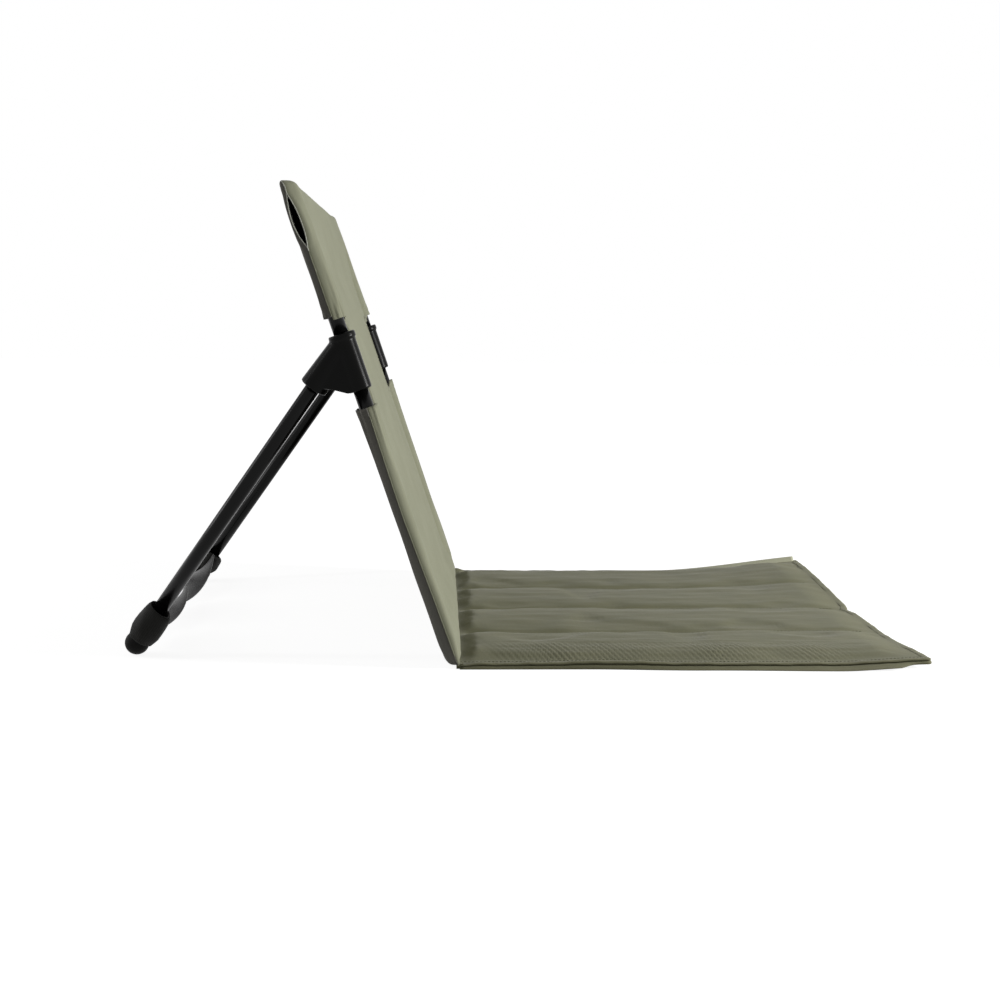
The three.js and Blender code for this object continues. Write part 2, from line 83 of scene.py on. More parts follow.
Shape = tuple[np.ndarray, list[list[int]]]


class Side(Enum):
    """The sitter's side that a piece is on, with its sign along Y."""

    LEFT = 1
    RIGHT = -1

    @property
    def word(self) -> str:
        """The side's name as the nodes spell it."""
        return self.name.lower()


# Mesh helpers


def smooth(share: np.ndarray | float) -> np.ndarray | float:
    """Eases a share from 0 to 1.

    Args:
        share: Any number; below 0 counts as 0 and above 1 as 1.

    Returns:
        The eased share.
    """
    held = np.clip(share, 0.0, 1.0)
    return held * held * (3 - 2 * held)


def ease(place: np.ndarray | float, start: float, length: float) -> np.ndarray | float:
    """Eases from 0 at a start to 1 a length further on, in millimetres."""
    return smooth((place - start) / length)


def dome(place: np.ndarray | float, middle: float, spread: float) -> np.ndarray | float:
    """A bell-shaped swelling: 1 at the middle, and 0.37 at the spread's distance from it."""
    return np.exp(-((place - middle) / spread) ** 2)


def ripple(u: np.ndarray, v: np.ndarray, wave: float, seed: float) -> np.ndarray:
    """A soft irregular wave over two coordinates, from -1 to 1.

    Args:
        u: First coordinate, in millimetres.
        v: Second coordinate, in millimetres.
        wave: The typical wavelength, in millimetres.
        seed: A number that shifts the pattern.

    Returns:
        The wave at each place.
    """
    k = TAU / wave
    first = np.sin(k * (u + 0.31 * v) + seed)
    second = np.sin(k * (0.63 * u - 0.78 * v) + 2.3 * seed + 1.1)
    third = np.sin(k * (1.37 * v + 0.22 * u) + 3.7 * seed + 2.6)
    fourth = np.sin(k * (1.71 * u + 1.13 * v) + 5.1 * seed + 0.4)
    return (first + second + 0.7 * third + 0.5 * fourth) / 3.2


def stations(low: float, high: float, step: float) -> np.ndarray:
    """Evenly spaced places from low up to, but without, high, about step apart."""
    count = max(1, round(abs(high - low) / step))
    return np.linspace(low, high, count, endpoint=False)


def arc_lengths(grid: np.ndarray) -> np.ndarray:
    """How far each point of a grid lies along its row, measured over the cloth."""
    steps = np.linalg.norm(np.diff(grid, axis=1), axis=-1)
    return np.concatenate([np.zeros((len(grid), 1)), np.cumsum(steps, axis=1)], axis=1)


def placed(matrix: Matrix, points: np.ndarray) -> np.ndarray:
    """Moves points by a matrix, all at once."""
    turn = np.array(matrix)
    return points @ turn[:3, :3].T + turn[:3, 3]


def link(data: bpy.types.ID, name: str) -> bpy.types.Object:
    """Makes an object of a mesh, a lamp or a camera and links it to the scene.

    Args:
        data: The mesh, lamp or camera.
        name: The object's name.

    Returns:
        The new object.
    """
    made = bpy.data.objects.new(name, data)
    bpy.context.scene.collection.objects.link(made)
    return made


def add_thread(mesh: bpy.types.Mesh, thread: np.ndarray) -> None:
    """Stores where each point lies along and across the cloth's threads, for the weave.

    Args:
        mesh: A mesh that already has its points.
        thread: The two places in millimetres, one row for each point.
    """
    weave = mesh.attributes.new(THREAD, "FLOAT_VECTOR", "POINT")
    flat = np.zeros((len(thread), 3), np.float32)
    flat[:, :2] = np.asarray(thread, float) * MM
    weave.data.foreach_set("vector", flat.ravel())


def shade_smooth(mesh: bpy.types.Mesh) -> None:
    """Shades all faces of a mesh smoothly."""
    mesh.polygons.foreach_set("use_smooth", [True] * len(mesh.polygons))


def make_piece(
    name: str,
    points: np.ndarray,
    faces: Sequence[Sequence[int]],
    thread: np.ndarray | None = None,
) -> bpy.types.Object:
    """Makes a smooth-shaded mesh object with its faces turned outwards.

    Args:
        name: The object's name.
        points: Points in millimetres, one row each.
        faces: Lists of point numbers.
        thread: Places along and across the cloth's threads, in millimetres, for its weave.

    Returns:
        The new object.
    """
    mesh = bpy.data.meshes.new(name)
    mesh.from_pydata((np.asarray(points, float) * MM).tolist(), [], [list(f) for f in faces])
    if thread is not None:
        add_thread(mesh, thread)
    shape = bmesh.new()
    shape.from_mesh(mesh)
    bmesh.ops.recalc_face_normals(shape, faces=shape.faces)
    shape.to_mesh(mesh)
    shape.free()
    shade_smooth(mesh)
    return link(mesh, name)


def apply_modifiers(piece: bpy.types.Object) -> None:
    """Turns an object's modifiers into its mesh.

    Args:
        piece: The object, which keeps its name.
    """
    bpy.context.view_layer.update()
    made = piece.evaluated_get(bpy.context.evaluated_depsgraph_get())
    mesh = bpy.data.meshes.new_from_object(made)
    piece.modifiers.clear()
    piece.data = mesh
    shade_smooth(mesh)


def grid_faces(rows: int, columns: int, open_quads: np.ndarray | None = None) -> list[list[int]]:
    """The quads of a grid of points.

    Args:
        rows: How many rows of points there are.
        columns: How many points each row has.
        open_quads: True for each quad that is left out, as rows by columns.

    Returns:
        The faces.
    """
    faces = []
    for row in range(rows - 1):
        for column in range(columns - 1):
            if open_quads is None or not open_quads[row, column]:
                a = row * columns + column
                faces.append([a, a + 1, a + columns + 1, a + columns])
    return faces


def ring_faces(rings: int, size: int, closed: bool = False) -> list[list[int]]:
    """The quads between rings of points, one after the other.

    Args:
        rings: How many rings there are.
        size: How many points each ring has.
        closed: Whether the last ring joins the first; if not, both ends are capped.

    Returns:
        The faces.
    """
    faces = []
    for ring in range(rings if closed else rings - 1):
        here, after = ring * size, ((ring + 1) % rings) * size
        for side in range(size):
            turn = (side + 1) % size
            faces.append([here + side, here + turn, after + turn, after + side])
    if not closed:
        faces.append(list(range(size)))
        faces.append([(rings - 1) * size + side for side in range(size)])
    return faces


def lathe(profile: Sequence[tuple[float, float]], sides: int) -> Shape:
    """Turns a profile about the z axis, capped at both ends.

    Args:
        profile: Pairs of a radius and a height, in millimetres.
        sides: How many sides the turned shape has.

    Returns:
        Points and faces.
    """
    rings = []
    for radius, height in profile:
        for side in range(sides):
            angle = TAU * side / sides
            rings.append((radius * math.cos(angle), radius * math.sin(angle), height))
    return np.array(rings), ring_faces(len(profile), sides)


def sweep(path: Sequence[Vector], outline: Sequence[tuple[float, float]], normal: Vector) -> Shape:
    """Sweeps a closed outline along a path, capped at both ends.

    Args:
        path: Points along the middle, in millimetres.
        outline: Points of the section, along the normal and across it.
        normal: The direction that stays the section's first axis.

    Returns:
        Points and faces.
    """
    rings = []
    for index, point in enumerate(path):
        before, after = path[max(index - 1, 0)], path[min(index + 1, len(path) - 1)]
        tangent = (after - before).normalized()
        first = (normal - tangent * normal.dot(tangent)).normalized()
        second = tangent.cross(first)
        rings.extend(point + first * a + second * b for a, b in outline)
    return np.array([tuple(p) for p in rings]), ring_faces(len(path), len(outline))


def round_outline(radius: float, sides: int) -> list[tuple[float, float]]:
    """A circle as an outline of so many sides."""
    angles = [TAU * k / sides for k in range(sides)]
    return [(radius * math.cos(angle), radius * math.sin(angle)) for angle in angles]


def gather(parts: Sequence[Shape]) -> Shape:
    """Joins several sets of points and faces into one.

    Args:
        parts: Points and faces of each part.

    Returns:
        Points and faces of them all.
    """
    points, faces, base = [], [], 0
    for some_points, some_faces in parts:
        points.append(some_points)
        faces.extend([base + k for k in face] for face in some_faces)
        base += len(some_points)
    return np.vstack(points), faces


# Material helpers


def linear(hex_colour: str) -> tuple[float, float, float, float]:
    """Turns an sRGB colour to linear light.

    Args:
        hex_colour: The colour in hex, such as #7f806d.

    Returns:
        Red, green, blue and an alpha of 1.
    """
    channels = [int(hex_colour[k:k + 2], 16) / 255 for k in (1, 3, 5)]
    bent = [c / 12.92 if c <= 0.04045 else ((c + 0.055) / 1.055) ** 2.4 for c in channels]
    return (bent[0], bent[1], bent[2], 1.0)


def add_node(
    tree: bpy.types.NodeTree,
    kind: str,
    inputs: dict[str | int, object] | None = None,
    **settings: object,
) -> bpy.types.Node:
    """Adds a shader node with its settings, input values and links.

    Args:
        tree: The node tree.
        kind: The node's type name, without the ShaderNode in front.
        inputs: What feeds each input, by socket name or number: a value, a socket that is
            linked, or a node whose first output is linked.
        **settings: The node's own properties.

    Returns:
        The new node.
    """
    node = tree.nodes.new(f"ShaderNode{kind}")
    for name, value in settings.items():
        setattr(node, name, value)
    for name, value in (inputs or {}).items():
        source = value.outputs[0] if isinstance(value, bpy.types.Node) else value
        if isinstance(source, bpy.types.NodeSocket):
            tree.links.new(source, node.inputs[name])
        else:
            node.inputs[name].default_value = source
    return node


def wave_scale(pitch: float) -> float:
    """The Wave Texture's scale for bands a pitch of so many millimetres apart, on metres."""
    return TAU / 20 / (pitch * MM)


def noise_scale(size: float) -> float:
    """The Noise Texture's scale for patches so many millimetres across, on metres."""
    return 1 / (size * MM)


def start_material(name: str) -> tuple[bpy.types.Material, bpy.types.NodeTree]:
    """Makes a material with an empty node tree.

    Args:
        name: The material's name.

    Returns:
        The material and its tree.
    """
    material = bpy.data.materials.new(name)
    material.use_nodes = True
    material.node_tree.nodes.clear()
    return material, material.node_tree


def seen_rays(tree: bpy.types.NodeTree) -> bpy.types.Node:
    """Adds the nodes that tell what is seen from what only lights the chair.

    Args:
        tree: The node tree.

    Returns:
        A node that gives 1 to camera, glossy and transmission rays and 0 to the others.
    """
    path = add_node(tree, "LightPath").outputs
    seen = path["Is Camera Ray"]
    for ray in ("Is Glossy Ray", "Is Transmission Ray"):
        seen = add_node(tree, "Math", {0: seen, 1: path[ray]}, operation="MAXIMUM").outputs[0]
    return seen.node


@dataclass(frozen=True)
class WovenPolyester:
    """Plain-woven 600-denier polyester cloth with a coated back: matt, with a faint sheen."""

    name: str
    colour: str
    shade: str
    thread_pitch: float = 0.9
    roughness: float = 0.82
    bump: float = 0.25
    bump_depth: float = 0.22
    cloud_size: float = 1000 / 22
    yarn_size: float = 1000 / 900

    def build(self) -> bpy.types.Material:
        """Makes the material.

        Returns:
            A cloth with yarn-to-yarn tone changes, faint dye clouds and an over-and-under weave.
            The real thread spacing is about 0.45 mm; it is drawn at twice that so that it shows.
        """
        material, tree = start_material(self.name)
        thread = add_node(tree, "Attribute", attribute_name=THREAD).outputs["Vector"]
        place = add_node(tree, "TexCoord").outputs["Object"]
        warp, weft = [
            add_node(
                tree, "TexWave",
                {"Vector": thread, "Scale": wave_scale(self.thread_pitch), "Distortion": 0.4,
                 "Detail Scale": 2.0},
                bands_direction=along,
            ).outputs["Fac"]
            for along in "XY"
        ]
        weave = add_node(tree, "Math", {0: warp, 1: weft}, operation="MULTIPLY")
        clouds = add_node(
            tree, "TexNoise",
            {"Vector": place, "Scale": noise_scale(self.cloud_size), "Detail": 3.0,
             "Roughness": 0.55},
        )
        yarn = add_node(
            tree, "TexNoise",
            {"Vector": thread, "Scale": noise_scale(self.yarn_size), "Detail": 2.0},
        )
        tone = add_node(tree, "Math", {0: yarn.outputs["Fac"], 1: 0.35}, operation="MULTIPLY")
        tone = add_node(
            tree, "Math", {0: clouds.outputs["Fac"], 1: 0.65, 2: tone}, operation="MULTIPLY_ADD",
        )
        ramp = add_node(tree, "ValToRGB", {"Fac": tone})
        for stop, place_on_ramp, colour in ((0, 0.32, self.shade), (1, 0.66, self.colour)):
            ramp.color_ramp.elements[stop].position = place_on_ramp
            ramp.color_ramp.elements[stop].color = linear(colour)
        relief = add_node(
            tree, "Bump",
            {"Height": weave, "Strength": self.bump, "Distance": self.bump_depth * MM},
        )
        shader = add_node(
            tree, "BsdfPrincipled",
            {"Base Color": ramp, "Normal": relief, "Roughness": self.roughness,
             "Specular IOR Level": 0.25, "Sheen Weight": 0.12, "Sheen Roughness": 0.45},
        )
        add_node(tree, "OutputMaterial", {"Surface": shader})
        return material


@dataclass(frozen=True)
class NylonWebbing:
    """Woven nylon webbing or thread: dull, with a rib across it at every pick of the weft."""

    name: str
    colour: str
    shade: str
    rib_pitch: float = 1.4
    roughness: float = 0.62
    specular: float = 0.12
    bump_depth: float = 0.3

    def build(self) -> bpy.types.Material:
        """Makes the material.

        Returns:
            A webbing with crosswise ribs and lengthwise yarns.
        """
        material, tree = start_material(self.name)
        thread = add_node(tree, "Attribute", attribute_name=THREAD).outputs["Vector"]
        bands = (("X", self.rib_pitch, 0.5), ("Y", self.rib_pitch * 0.7, 0.3))
        ribs, yarns = [
            add_node(
                tree, "TexWave",
                {"Vector": thread, "Scale": wave_scale(pitch), "Distortion": unevenness},
                bands_direction=along,
            ).outputs["Fac"]
            for along, pitch, unevenness in bands
        ]
        weave = add_node(tree, "Math", {0: ribs, 1: yarns}, operation="MULTIPLY")
        ramp = add_node(tree, "ValToRGB", {"Fac": weave})
        ramp.color_ramp.elements[0].color = linear(self.shade)
        ramp.color_ramp.elements[1].color = linear(self.colour)
        relief = add_node(
            tree, "Bump", {"Height": weave, "Strength": 0.5, "Distance": self.bump_depth * MM},
        )
        shader = add_node(
            tree, "BsdfPrincipled",
            {"Base Color": ramp, "Normal": relief, "Roughness": self.roughness,
             "Specular IOR Level": self.specular, "Sheen Weight": 0.05},
        )
        add_node(tree, "OutputMaterial", {"Surface": shader})
        return material


@dataclass(frozen=True)
class GrainedCoat:
    """An opaque black coat or moulding with a grain: powder coat, moulded nylon or rubber."""

    name: str
    colour: str
    worn: str
    roughness: float
    grain: float
    bump: float
    specular: float
    bump_depth: float = 0.1
    rub_size: float = 1000 / 45

    def build(self) -> bpy.types.Material:
        """Makes the material.

        Returns:
            A black surface with a fine grain, uneven gloss and edges rubbed a little paler.
        """
        material, tree = start_material(self.name)
        place = add_node(tree, "TexCoord").outputs["Object"]
        grain = add_node(
            tree, "TexNoise", {"Vector": place, "Scale": noise_scale(self.grain), "Detail": 2.0},
        )
        rubs = add_node(
            tree, "TexNoise",
            {"Vector": place, "Scale": noise_scale(self.rub_size), "Detail": 4.0, "Roughness": 0.6},
        )
        edges = add_node(tree, "NewGeometry")
        worn = add_node(
            tree, "MapRange",
            {"Value": edges.outputs["Pointiness"], "From Min": 0.52, "From Max": 0.62,
             "To Max": 0.7},
        )
        # The colour sockets of the Mix node are its inputs 6 and 7 and its output 2.
        mixed = add_node(
            tree, "Mix", {0: worn, 6: linear(self.colour), 7: linear(self.worn)}, data_type="RGBA",
        )
        gloss = add_node(
            tree, "MapRange",
            {"Value": rubs.outputs["Fac"], "From Min": 0.3, "From Max": 0.7,
             "To Min": self.roughness * 0.88, "To Max": self.roughness * 1.15},
        )
        relief = add_node(
            tree, "Bump",
            {"Height": grain.outputs["Fac"], "Strength": self.bump,
             "Distance": self.bump_depth * MM},
        )
        shader = add_node(
            tree, "BsdfPrincipled",
            {"Base Color": mixed.outputs[2], "Roughness": gloss, "Normal": relief,
             "Specular IOR Level": self.specular},
        )
        add_node(tree, "OutputMaterial", {"Surface": shader})
        return material


@dataclass(frozen=True)
class StudioPaper:
    """The white paper sweep of the studio, which keeps the chair's shadow."""

    name: str = "studio_paper"
    glow: float = 0.9
    albedo: float = 0.4

    def build(self) -> bpy.types.Material:
        """Makes the material.

        Returns:
            A matt white that is filled to white for the camera and for reflections.
        """
        material, tree = start_material(self.name)
        place = add_node(tree, "NewGeometry").outputs["Position"]
        far = add_node(tree, "VectorMath", {0: place}, operation="LENGTH")
        fill = add_node(
            tree, "MapRange",
            {"Value": far.outputs["Value"], "From Min": 0.6, "From Max": 1.6, "To Min": self.glow,
             "To Max": 1.0},
        )
        strength = add_node(tree, "Math", {0: seen_rays(tree), 1: fill}, operation="MULTIPLY")
        matt = add_node(tree, "BsdfDiffuse", {"Color": (self.albedo, self.albedo, self.albedo, 1)})
        glow = add_node(tree, "Emission", {"Color": (1, 1, 1, 1), "Strength": strength})
        both = add_node(tree, "AddShader", {0: matt, 1: glow})
        add_node(tree, "OutputMaterial", {"Surface": both})
        return material


class Finishes:
    """Every finish of the chair, built once."""

    def __init__(self) -> None:
        """Builds the materials."""
        self.cover = WovenPolyester("olive_woven_polyester", "#90917b", "#868771").build()
        # The rear cloth is greyer and darker than the cover's cloth. Part of that is the cloth's
        # own grey, and part is painted shade on the sleeves' sides.
        self.rear_cloth = WovenPolyester("grey_woven_polyester_rear", "#7e7c74", "#73716a").build()
        # The seat's cloth and its binding are darker than the back's cloth. Part of that is their
        # own more olive tone, and part is painted shade on the seat's upward face.
        self.seat_cloth = WovenPolyester("olive_woven_polyester_seat", "#76755a", "#6a6a51").build()
        self.binding = WovenPolyester(
            "olive_polyester_binding", "#76755a", "#69684f", 0.7, 0.8).build()
        self.pale_edge = WovenPolyester(
            "pale_coated_cut_edge", "#c4c5b8", "#b4b5a8", 0.7, 0.7).build()
        self.fold = WovenPolyester("olive_hem_fold", "#b0b098", "#a2a28a", 0.7, 0.75).build()
        self.ridge = WovenPolyester("olive_seam_ridge", "#94957f", "#84856f", 0.7, 0.8).build()
        self.thread = NylonWebbing("olive_bonded_thread", "#7c7c64", "#6a6a54", 0.6).build()
        self.webbing = NylonWebbing("black_nylon_webbing", "#232320", "#161614").build()
        self.strap = NylonWebbing(
            "black_calendered_webbing", "#191917", "#0e0e0d", 1.4, 0.32, 0.15).build()
        self.coated_steel = GrainedCoat(
            "black_powder_coated_steel", "#0a0a0a", "#161616", 0.2, 1.1, 0.05, 0.12).build()
        self.nylon = GrainedCoat(
            "black_moulded_nylon", "#070706", "#151513", 0.27, 0.35, 0.2, 0.08).build()
        self.rubber = GrainedCoat(
            "black_moulded_rubber", "#171716", "#21211f", 0.58, 0.5, 0.3, 0.08).build()


def dress(piece: bpy.types.Object, material: bpy.types.Material) -> bpy.types.Object:
    """Gives a piece its material.

    Args:
        piece: The piece.
        material: Its finish.

    Returns:
        The same piece.
    """
    piece.data.materials.clear()
    piece.data.materials.append(material)
    return piece


# Stitching


def stitch_row(
    path: Sequence[Vector], pitch: float = 3.2, length: float = 2.3, radius: float = 0.26
) -> Shape:
    """A row of lockstitches along a path that lies on the cloth.

    Args:
        path: Points on the cloth, in millimetres.
        pitch: Millimetres from stitch to stitch.
        length: Millimetres of thread that show of each stitch.
        radius: The thread's radius.

    Returns:
        Points and faces of all the stitches, each a closed grain of six sides.
    """
    line = np.array([tuple(p) for p in path])
    steps = np.linalg.norm(np.diff(line, axis=0), axis=1)
    along = np.concatenate([[0], np.cumsum(steps)])
    points, faces = [], []
    outline = round_outline(1.0, 6)
    swells = ((-0.5, 0.25), (-0.3, 0.9), (0.0, 1.0), (0.3, 0.9), (0.5, 0.25))
    for middle in np.arange(pitch / 2, along[-1], pitch):
        centre, ahead, behind = [
            Vector([np.interp(reach, along, line[:, k]) for k in range(3)])
            for reach in (middle, min(middle + 1, along[-1]), max(middle - 1, 0))
        ]
        tangent = (ahead - behind).normalized()
        guide = Vector((0, 0, 1)) if abs(tangent.z) < 0.8 else Vector((1, 0, 0))
        first = (guide - tangent * guide.dot(tangent)).normalized()
        second = tangent.cross(first)
        base = len(points)
        for share, swell in swells:
            at = centre + tangent * share * length
            points.extend(tuple(at + (first * a + second * b) * radius * swell) for a, b in outline)
        faces.extend([base + k for k in face] for face in ring_faces(len(swells), len(outline)))
    return np.array(points).reshape(-1, 3), faces


@dataclass
class BackPlane:
    """The plane of the leaning back: x out of its front, y to the sitter's left, z up its slope."""

    lean: float = math.radians(18.9)
    bar_height: float = 7.8
    half_width: float = 200.0
    tube_side: float = 183.4
    tube_radius: float = 6.0
    bar_spacing: float = 385.0
    notch_low: float = 206.5
    notch_high: float = 279.0
    notch_side: float = 138.0
    panel_side: float = 168.0

    def matrix(self) -> Matrix:
        """The plane's placement in the row frame, in millimetres."""
        return Matrix.Translation((0, 0, self.bar_height)) @ Matrix.Rotation(-self.lean, 4, "Y")

    def world(self, points: np.ndarray) -> np.ndarray:
        """Places points of the plane in the row frame."""
        return placed(self.matrix(), points)


@dataclass
class SubAssembly:
    """A group of the chair's pieces, which takes its materials from the chair's finishes."""

    finishes: Finishes


@dataclass
class TubeFrame(SubAssembly):
    """The two bent steel tubes of the back, which meet inside the connectors."""

    plane: BackPlane
    top_bend: float = 30.0
    bottom_bend: float = 20.0
    meet: float = 249.0
    stop_half: float = 1.3
    sides: int = 40
    bend_steps: int = 14

    def path(self, bend: float, arm: float) -> list[Vector]:
        """The middle line of a U with its bar at height 0.

        Args:
            bend: The radius of both bends.
            arm: The height of both ends.

        Returns:
            Points along the line, from the right end to the left one.
        """
        points = [Vector((0, -self.plane.tube_side, arm))]
        for sign in (-1, 1):
            for step in range(self.bend_steps + 1):
                share = step / self.bend_steps if sign < 0 else 1 - step / self.bend_steps
                angle = share * math.pi / 2
                y = sign * (self.plane.tube_side - bend + bend * math.cos(angle))
                points.append(Vector((0, y, bend - bend * math.sin(angle))))
        points.append(Vector((0, self.plane.tube_side, arm)))
        return points

    def build(self) -> None:
        """Makes both tubes, which ride on the back and stop at the rib inside each connector."""
        spacing = self.plane.bar_spacing
        lower = self.path(self.bottom_bend, self.meet - self.stop_half)
        upper = self.path(self.top_bend, spacing - self.meet - self.stop_half)
        upper = [Vector((0, p.y, spacing - p.z)) for p in upper]
        outline = round_outline(self.plane.tube_radius, self.sides)
        for name, node, path in (
            ("lower_frame_tube", "lower_back_tube", lower),
            ("upper_frame_tube", "upper_back_tube", upper),
        ):
            points, faces = sweep(path, outline, Vector((1, 0, 0)))
            piece = make_piece(name, self.plane.world(points), faces)
            dress(piece, self.finishes.coated_steel)
            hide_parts(node)
            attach(piece, "back_frame")


@dataclass
class BackCover(SubAssembly):
    """The back's sewn cover: front and rear cloth over the tubes, closed by seams at both sides."""

    plane: BackPlane
    half_depth: float = 7.5
    cloth: float = 0.9
    panel_depth: float = 4.0
    crown: float = 1.2
    top_corner: float = 5.0
    base_corner: float = 8.0
    ear: float = 5.0
    slit_low: float = 343.0
    slit_high: float = 381.0
    slit_half: float = 3.3
    lower_lip: float = 6.0
    upper_lip: float = 7.0
    rear_limit: float = 8.4
    sleeve_side: float = 163.5
    fold_pitch: float = 7.4
    fold_height: float = 0.75
    seam_depth: float = 1.2
    seam_half: float = 1.7
    stitch_side: float = 165.2
    stitch_low: float = 32.0
    stitch_high: float = 324.0

    @property
    def top(self) -> float:
        """The height of the cover's top edge up the slope."""
        return self.plane.bar_spacing + self.half_depth - 0.5

    def heights(self) -> np.ndarray:
        """Rows up the slope, close together round the two bars and at the notches.

        Returns:
            Their heights, from the base up.
        """
        h, p = self.half_depth, self.plane
        return np.concatenate([
            -h * np.cos(np.linspace(0, QUARTER, 9))[:-1],
            stations(0, 28, 3.0),
            stations(28, p.notch_low, 3.0),
            stations(p.notch_low, p.notch_high, 3.6),
            stations(p.notch_high, p.bar_spacing, 2.2),
            p.bar_spacing + (h - 0.5) * np.sin(np.linspace(0, QUARTER, 14)),
        ])

    def widths(self) -> np.ndarray:
        """Columns across the back, close together on the sleeves and round the side seams.

        Returns:
            Their places, from the right side to the left.
        """
        h, p = self.half_depth, self.plane
        half = np.concatenate([
            stations(0, p.notch_side, 5.0),
            stations(p.notch_side, 162, 3.4),
            stations(162, 178, 1.5),
            stations(178, p.half_width - h, 1.8),
            p.half_width - h + h * np.sin(np.linspace(0, QUARTER, 16)),
        ])
        return np.concatenate([-half[:0:-1], half])

    def edge(self, z: np.ndarray) -> np.ndarray:
        """How far out the side seam lies, round both corners.

        Args:
            z: Heights up the slope.

        Returns:
            The distance from the back's middle at each height.
        """
        over = np.clip(z - (self.top - self.top_corner), 0, self.top_corner)
        under = np.clip(self.base_corner - self.half_depth - z, 0, self.base_corner)
        inset = self.top_corner - np.sqrt(self.top_corner ** 2 - over ** 2)
        inset = inset + self.base_corner - np.sqrt(self.base_corner ** 2 - under ** 2)
        return self.plane.half_width - inset

    def seam_shift(self, z: np.ndarray) -> np.ndarray:
        """How far the side seam wanders from the middle of the side.

        Args:
            z: Heights up the slope.

        Returns:
            The distance to the front at each height, below 0 to the rear.
        """
        marks = ((-8, 3.0), (25, 2.4), (55, 1.8), (90, 0.9), (120, 0.0), (150, 0.2), (203, 1.2),
                 (286, -1.4), (343, -1.6), (352, -2.4), (362, -3.1), (380, -3.2), (393, -2.6))
        return np.interp(z, [m[0] for m in marks], [m[1] for m in marks])

    def tip(self, z: np.ndarray) -> np.ndarray:
        """How far the top corners lean to the rear at each height."""
        return 1.6 * ease(z, 386, 7)

    def ear_rise(self, z: np.ndarray) -> np.ndarray:
        """How far the top corners are drawn up at each height."""
        return self.ear * ease(z, 350, 42)

    def lips(self, z: np.ndarray) -> np.ndarray:
        """Half the slit's width at each height."""
        share = np.clip((z - self.slit_low) / (self.slit_high - self.slit_low), 0, 1)
        return self.slit_half * np.sin(math.pi * share) ** 0.8

    def surface(self, face: int) -> tuple[np.ndarray, np.ndarray, np.ndarray]:
        """One cloth of the cover.

        Args:
            face: 1 for the front cloth and -1 for the rear one.

        Returns:
            Its points in the plane, as rows by columns, and the grids of heights and widths.
        """
        h, p = self.half_depth, self.plane
        z, y = np.meshgrid(self.heights(), self.widths(), indexing="ij")
        edge = self.edge(z)
        y = y * (1 + (edge / p.half_width - 1) * ease(np.abs(y), 140, 40))
        out = np.abs(y)
        rim = self.bulge(edge - out) * self.bulge(self.top - z) * self.bulge(z + h)
        # The sleeves hold the cloth at the tubes' depth; between them it lies on the foam.
        on_side = ease(out, self.sleeve_side, 9)
        on_top = ease(z, 318, 56)
        on_base = 1 - ease(z, 10, 20)
        held = 1 - (1 - on_side) * (1 - on_top) * (1 - on_base)
        crown = self.crown * (1 if face > 0 else 0.4)
        crown = crown * np.cos(np.clip(out / p.panel_side, 0, 1) * QUARTER)
        crown = crown * np.sin(np.clip((z - 20) / 320, 0, 1) * math.pi)
        body = (self.panel_depth + crown) * (1 - held) + h * held
        if face < 0:
            # The rear cloth stands off at the sleeves' open ends and is flat round the notches.
            flare = smooth((z - p.notch_low + 40) / 40) * (z <= p.notch_low)
            flare = flare + (1 - ease(z, p.notch_high, 45)) * (z >= p.notch_high)
            body = body + 1.1 * flare * on_side
            near_notch = smooth((z - p.notch_low + 12) / 6)
            near_notch = near_notch * (1 - smooth((z - p.notch_high - 6) / 6))
            beside_notch = smooth((out - p.notch_side + 14) / 7)
            body = body - near_notch * beside_notch * (1 - on_side)
        pinch = 0.87 + 0.13 * smooth(np.hypot(p.half_width - out, self.top - z) / 40)
        foot = 0.55 + 0.45 * smooth(np.hypot(p.half_width - out, z + h) / 24)
        x = face * (body * rim * pinch * foot + self.lips(z) * dome(edge, out, 3.0))
        x = x + self.seam_shift(z) * dome(edge, out, 4.5)
        if face < 0:
            # The legs swing behind this limit, so the rear cloth's depth levels off before it.
            x = x / (1 + (np.abs(x) / self.rear_limit) ** 8) ** 0.125
        corner = dome(out, p.half_width, 16)
        x = x - self.tip(z) * corner
        tall = z + self.ear_rise(z) * corner
        # The sleeves reach a little over the notches' low and high edges.
        beyond = ease(out, 165, 5)
        lower = self.lower_lip * beyond * smooth((z - p.notch_low + 24) / 24)
        tall = tall + lower * (z <= p.notch_low)
        raised = (self.upper_lip - 1.4 * face) * beyond * (1 - ease(z, p.notch_high, 30))
        tall = tall + raised * (z >= p.notch_high)
        grid = np.stack([x, y, tall], axis=-1)
        return self.rumple(grid, z, face), z, y

    def bulge(self, gap: np.ndarray) -> np.ndarray:
        """The share of the full depth at a distance in from a round edge."""
        return np.sqrt(1 - (1 - np.clip(gap / self.half_depth, 0, 1)) ** 2)

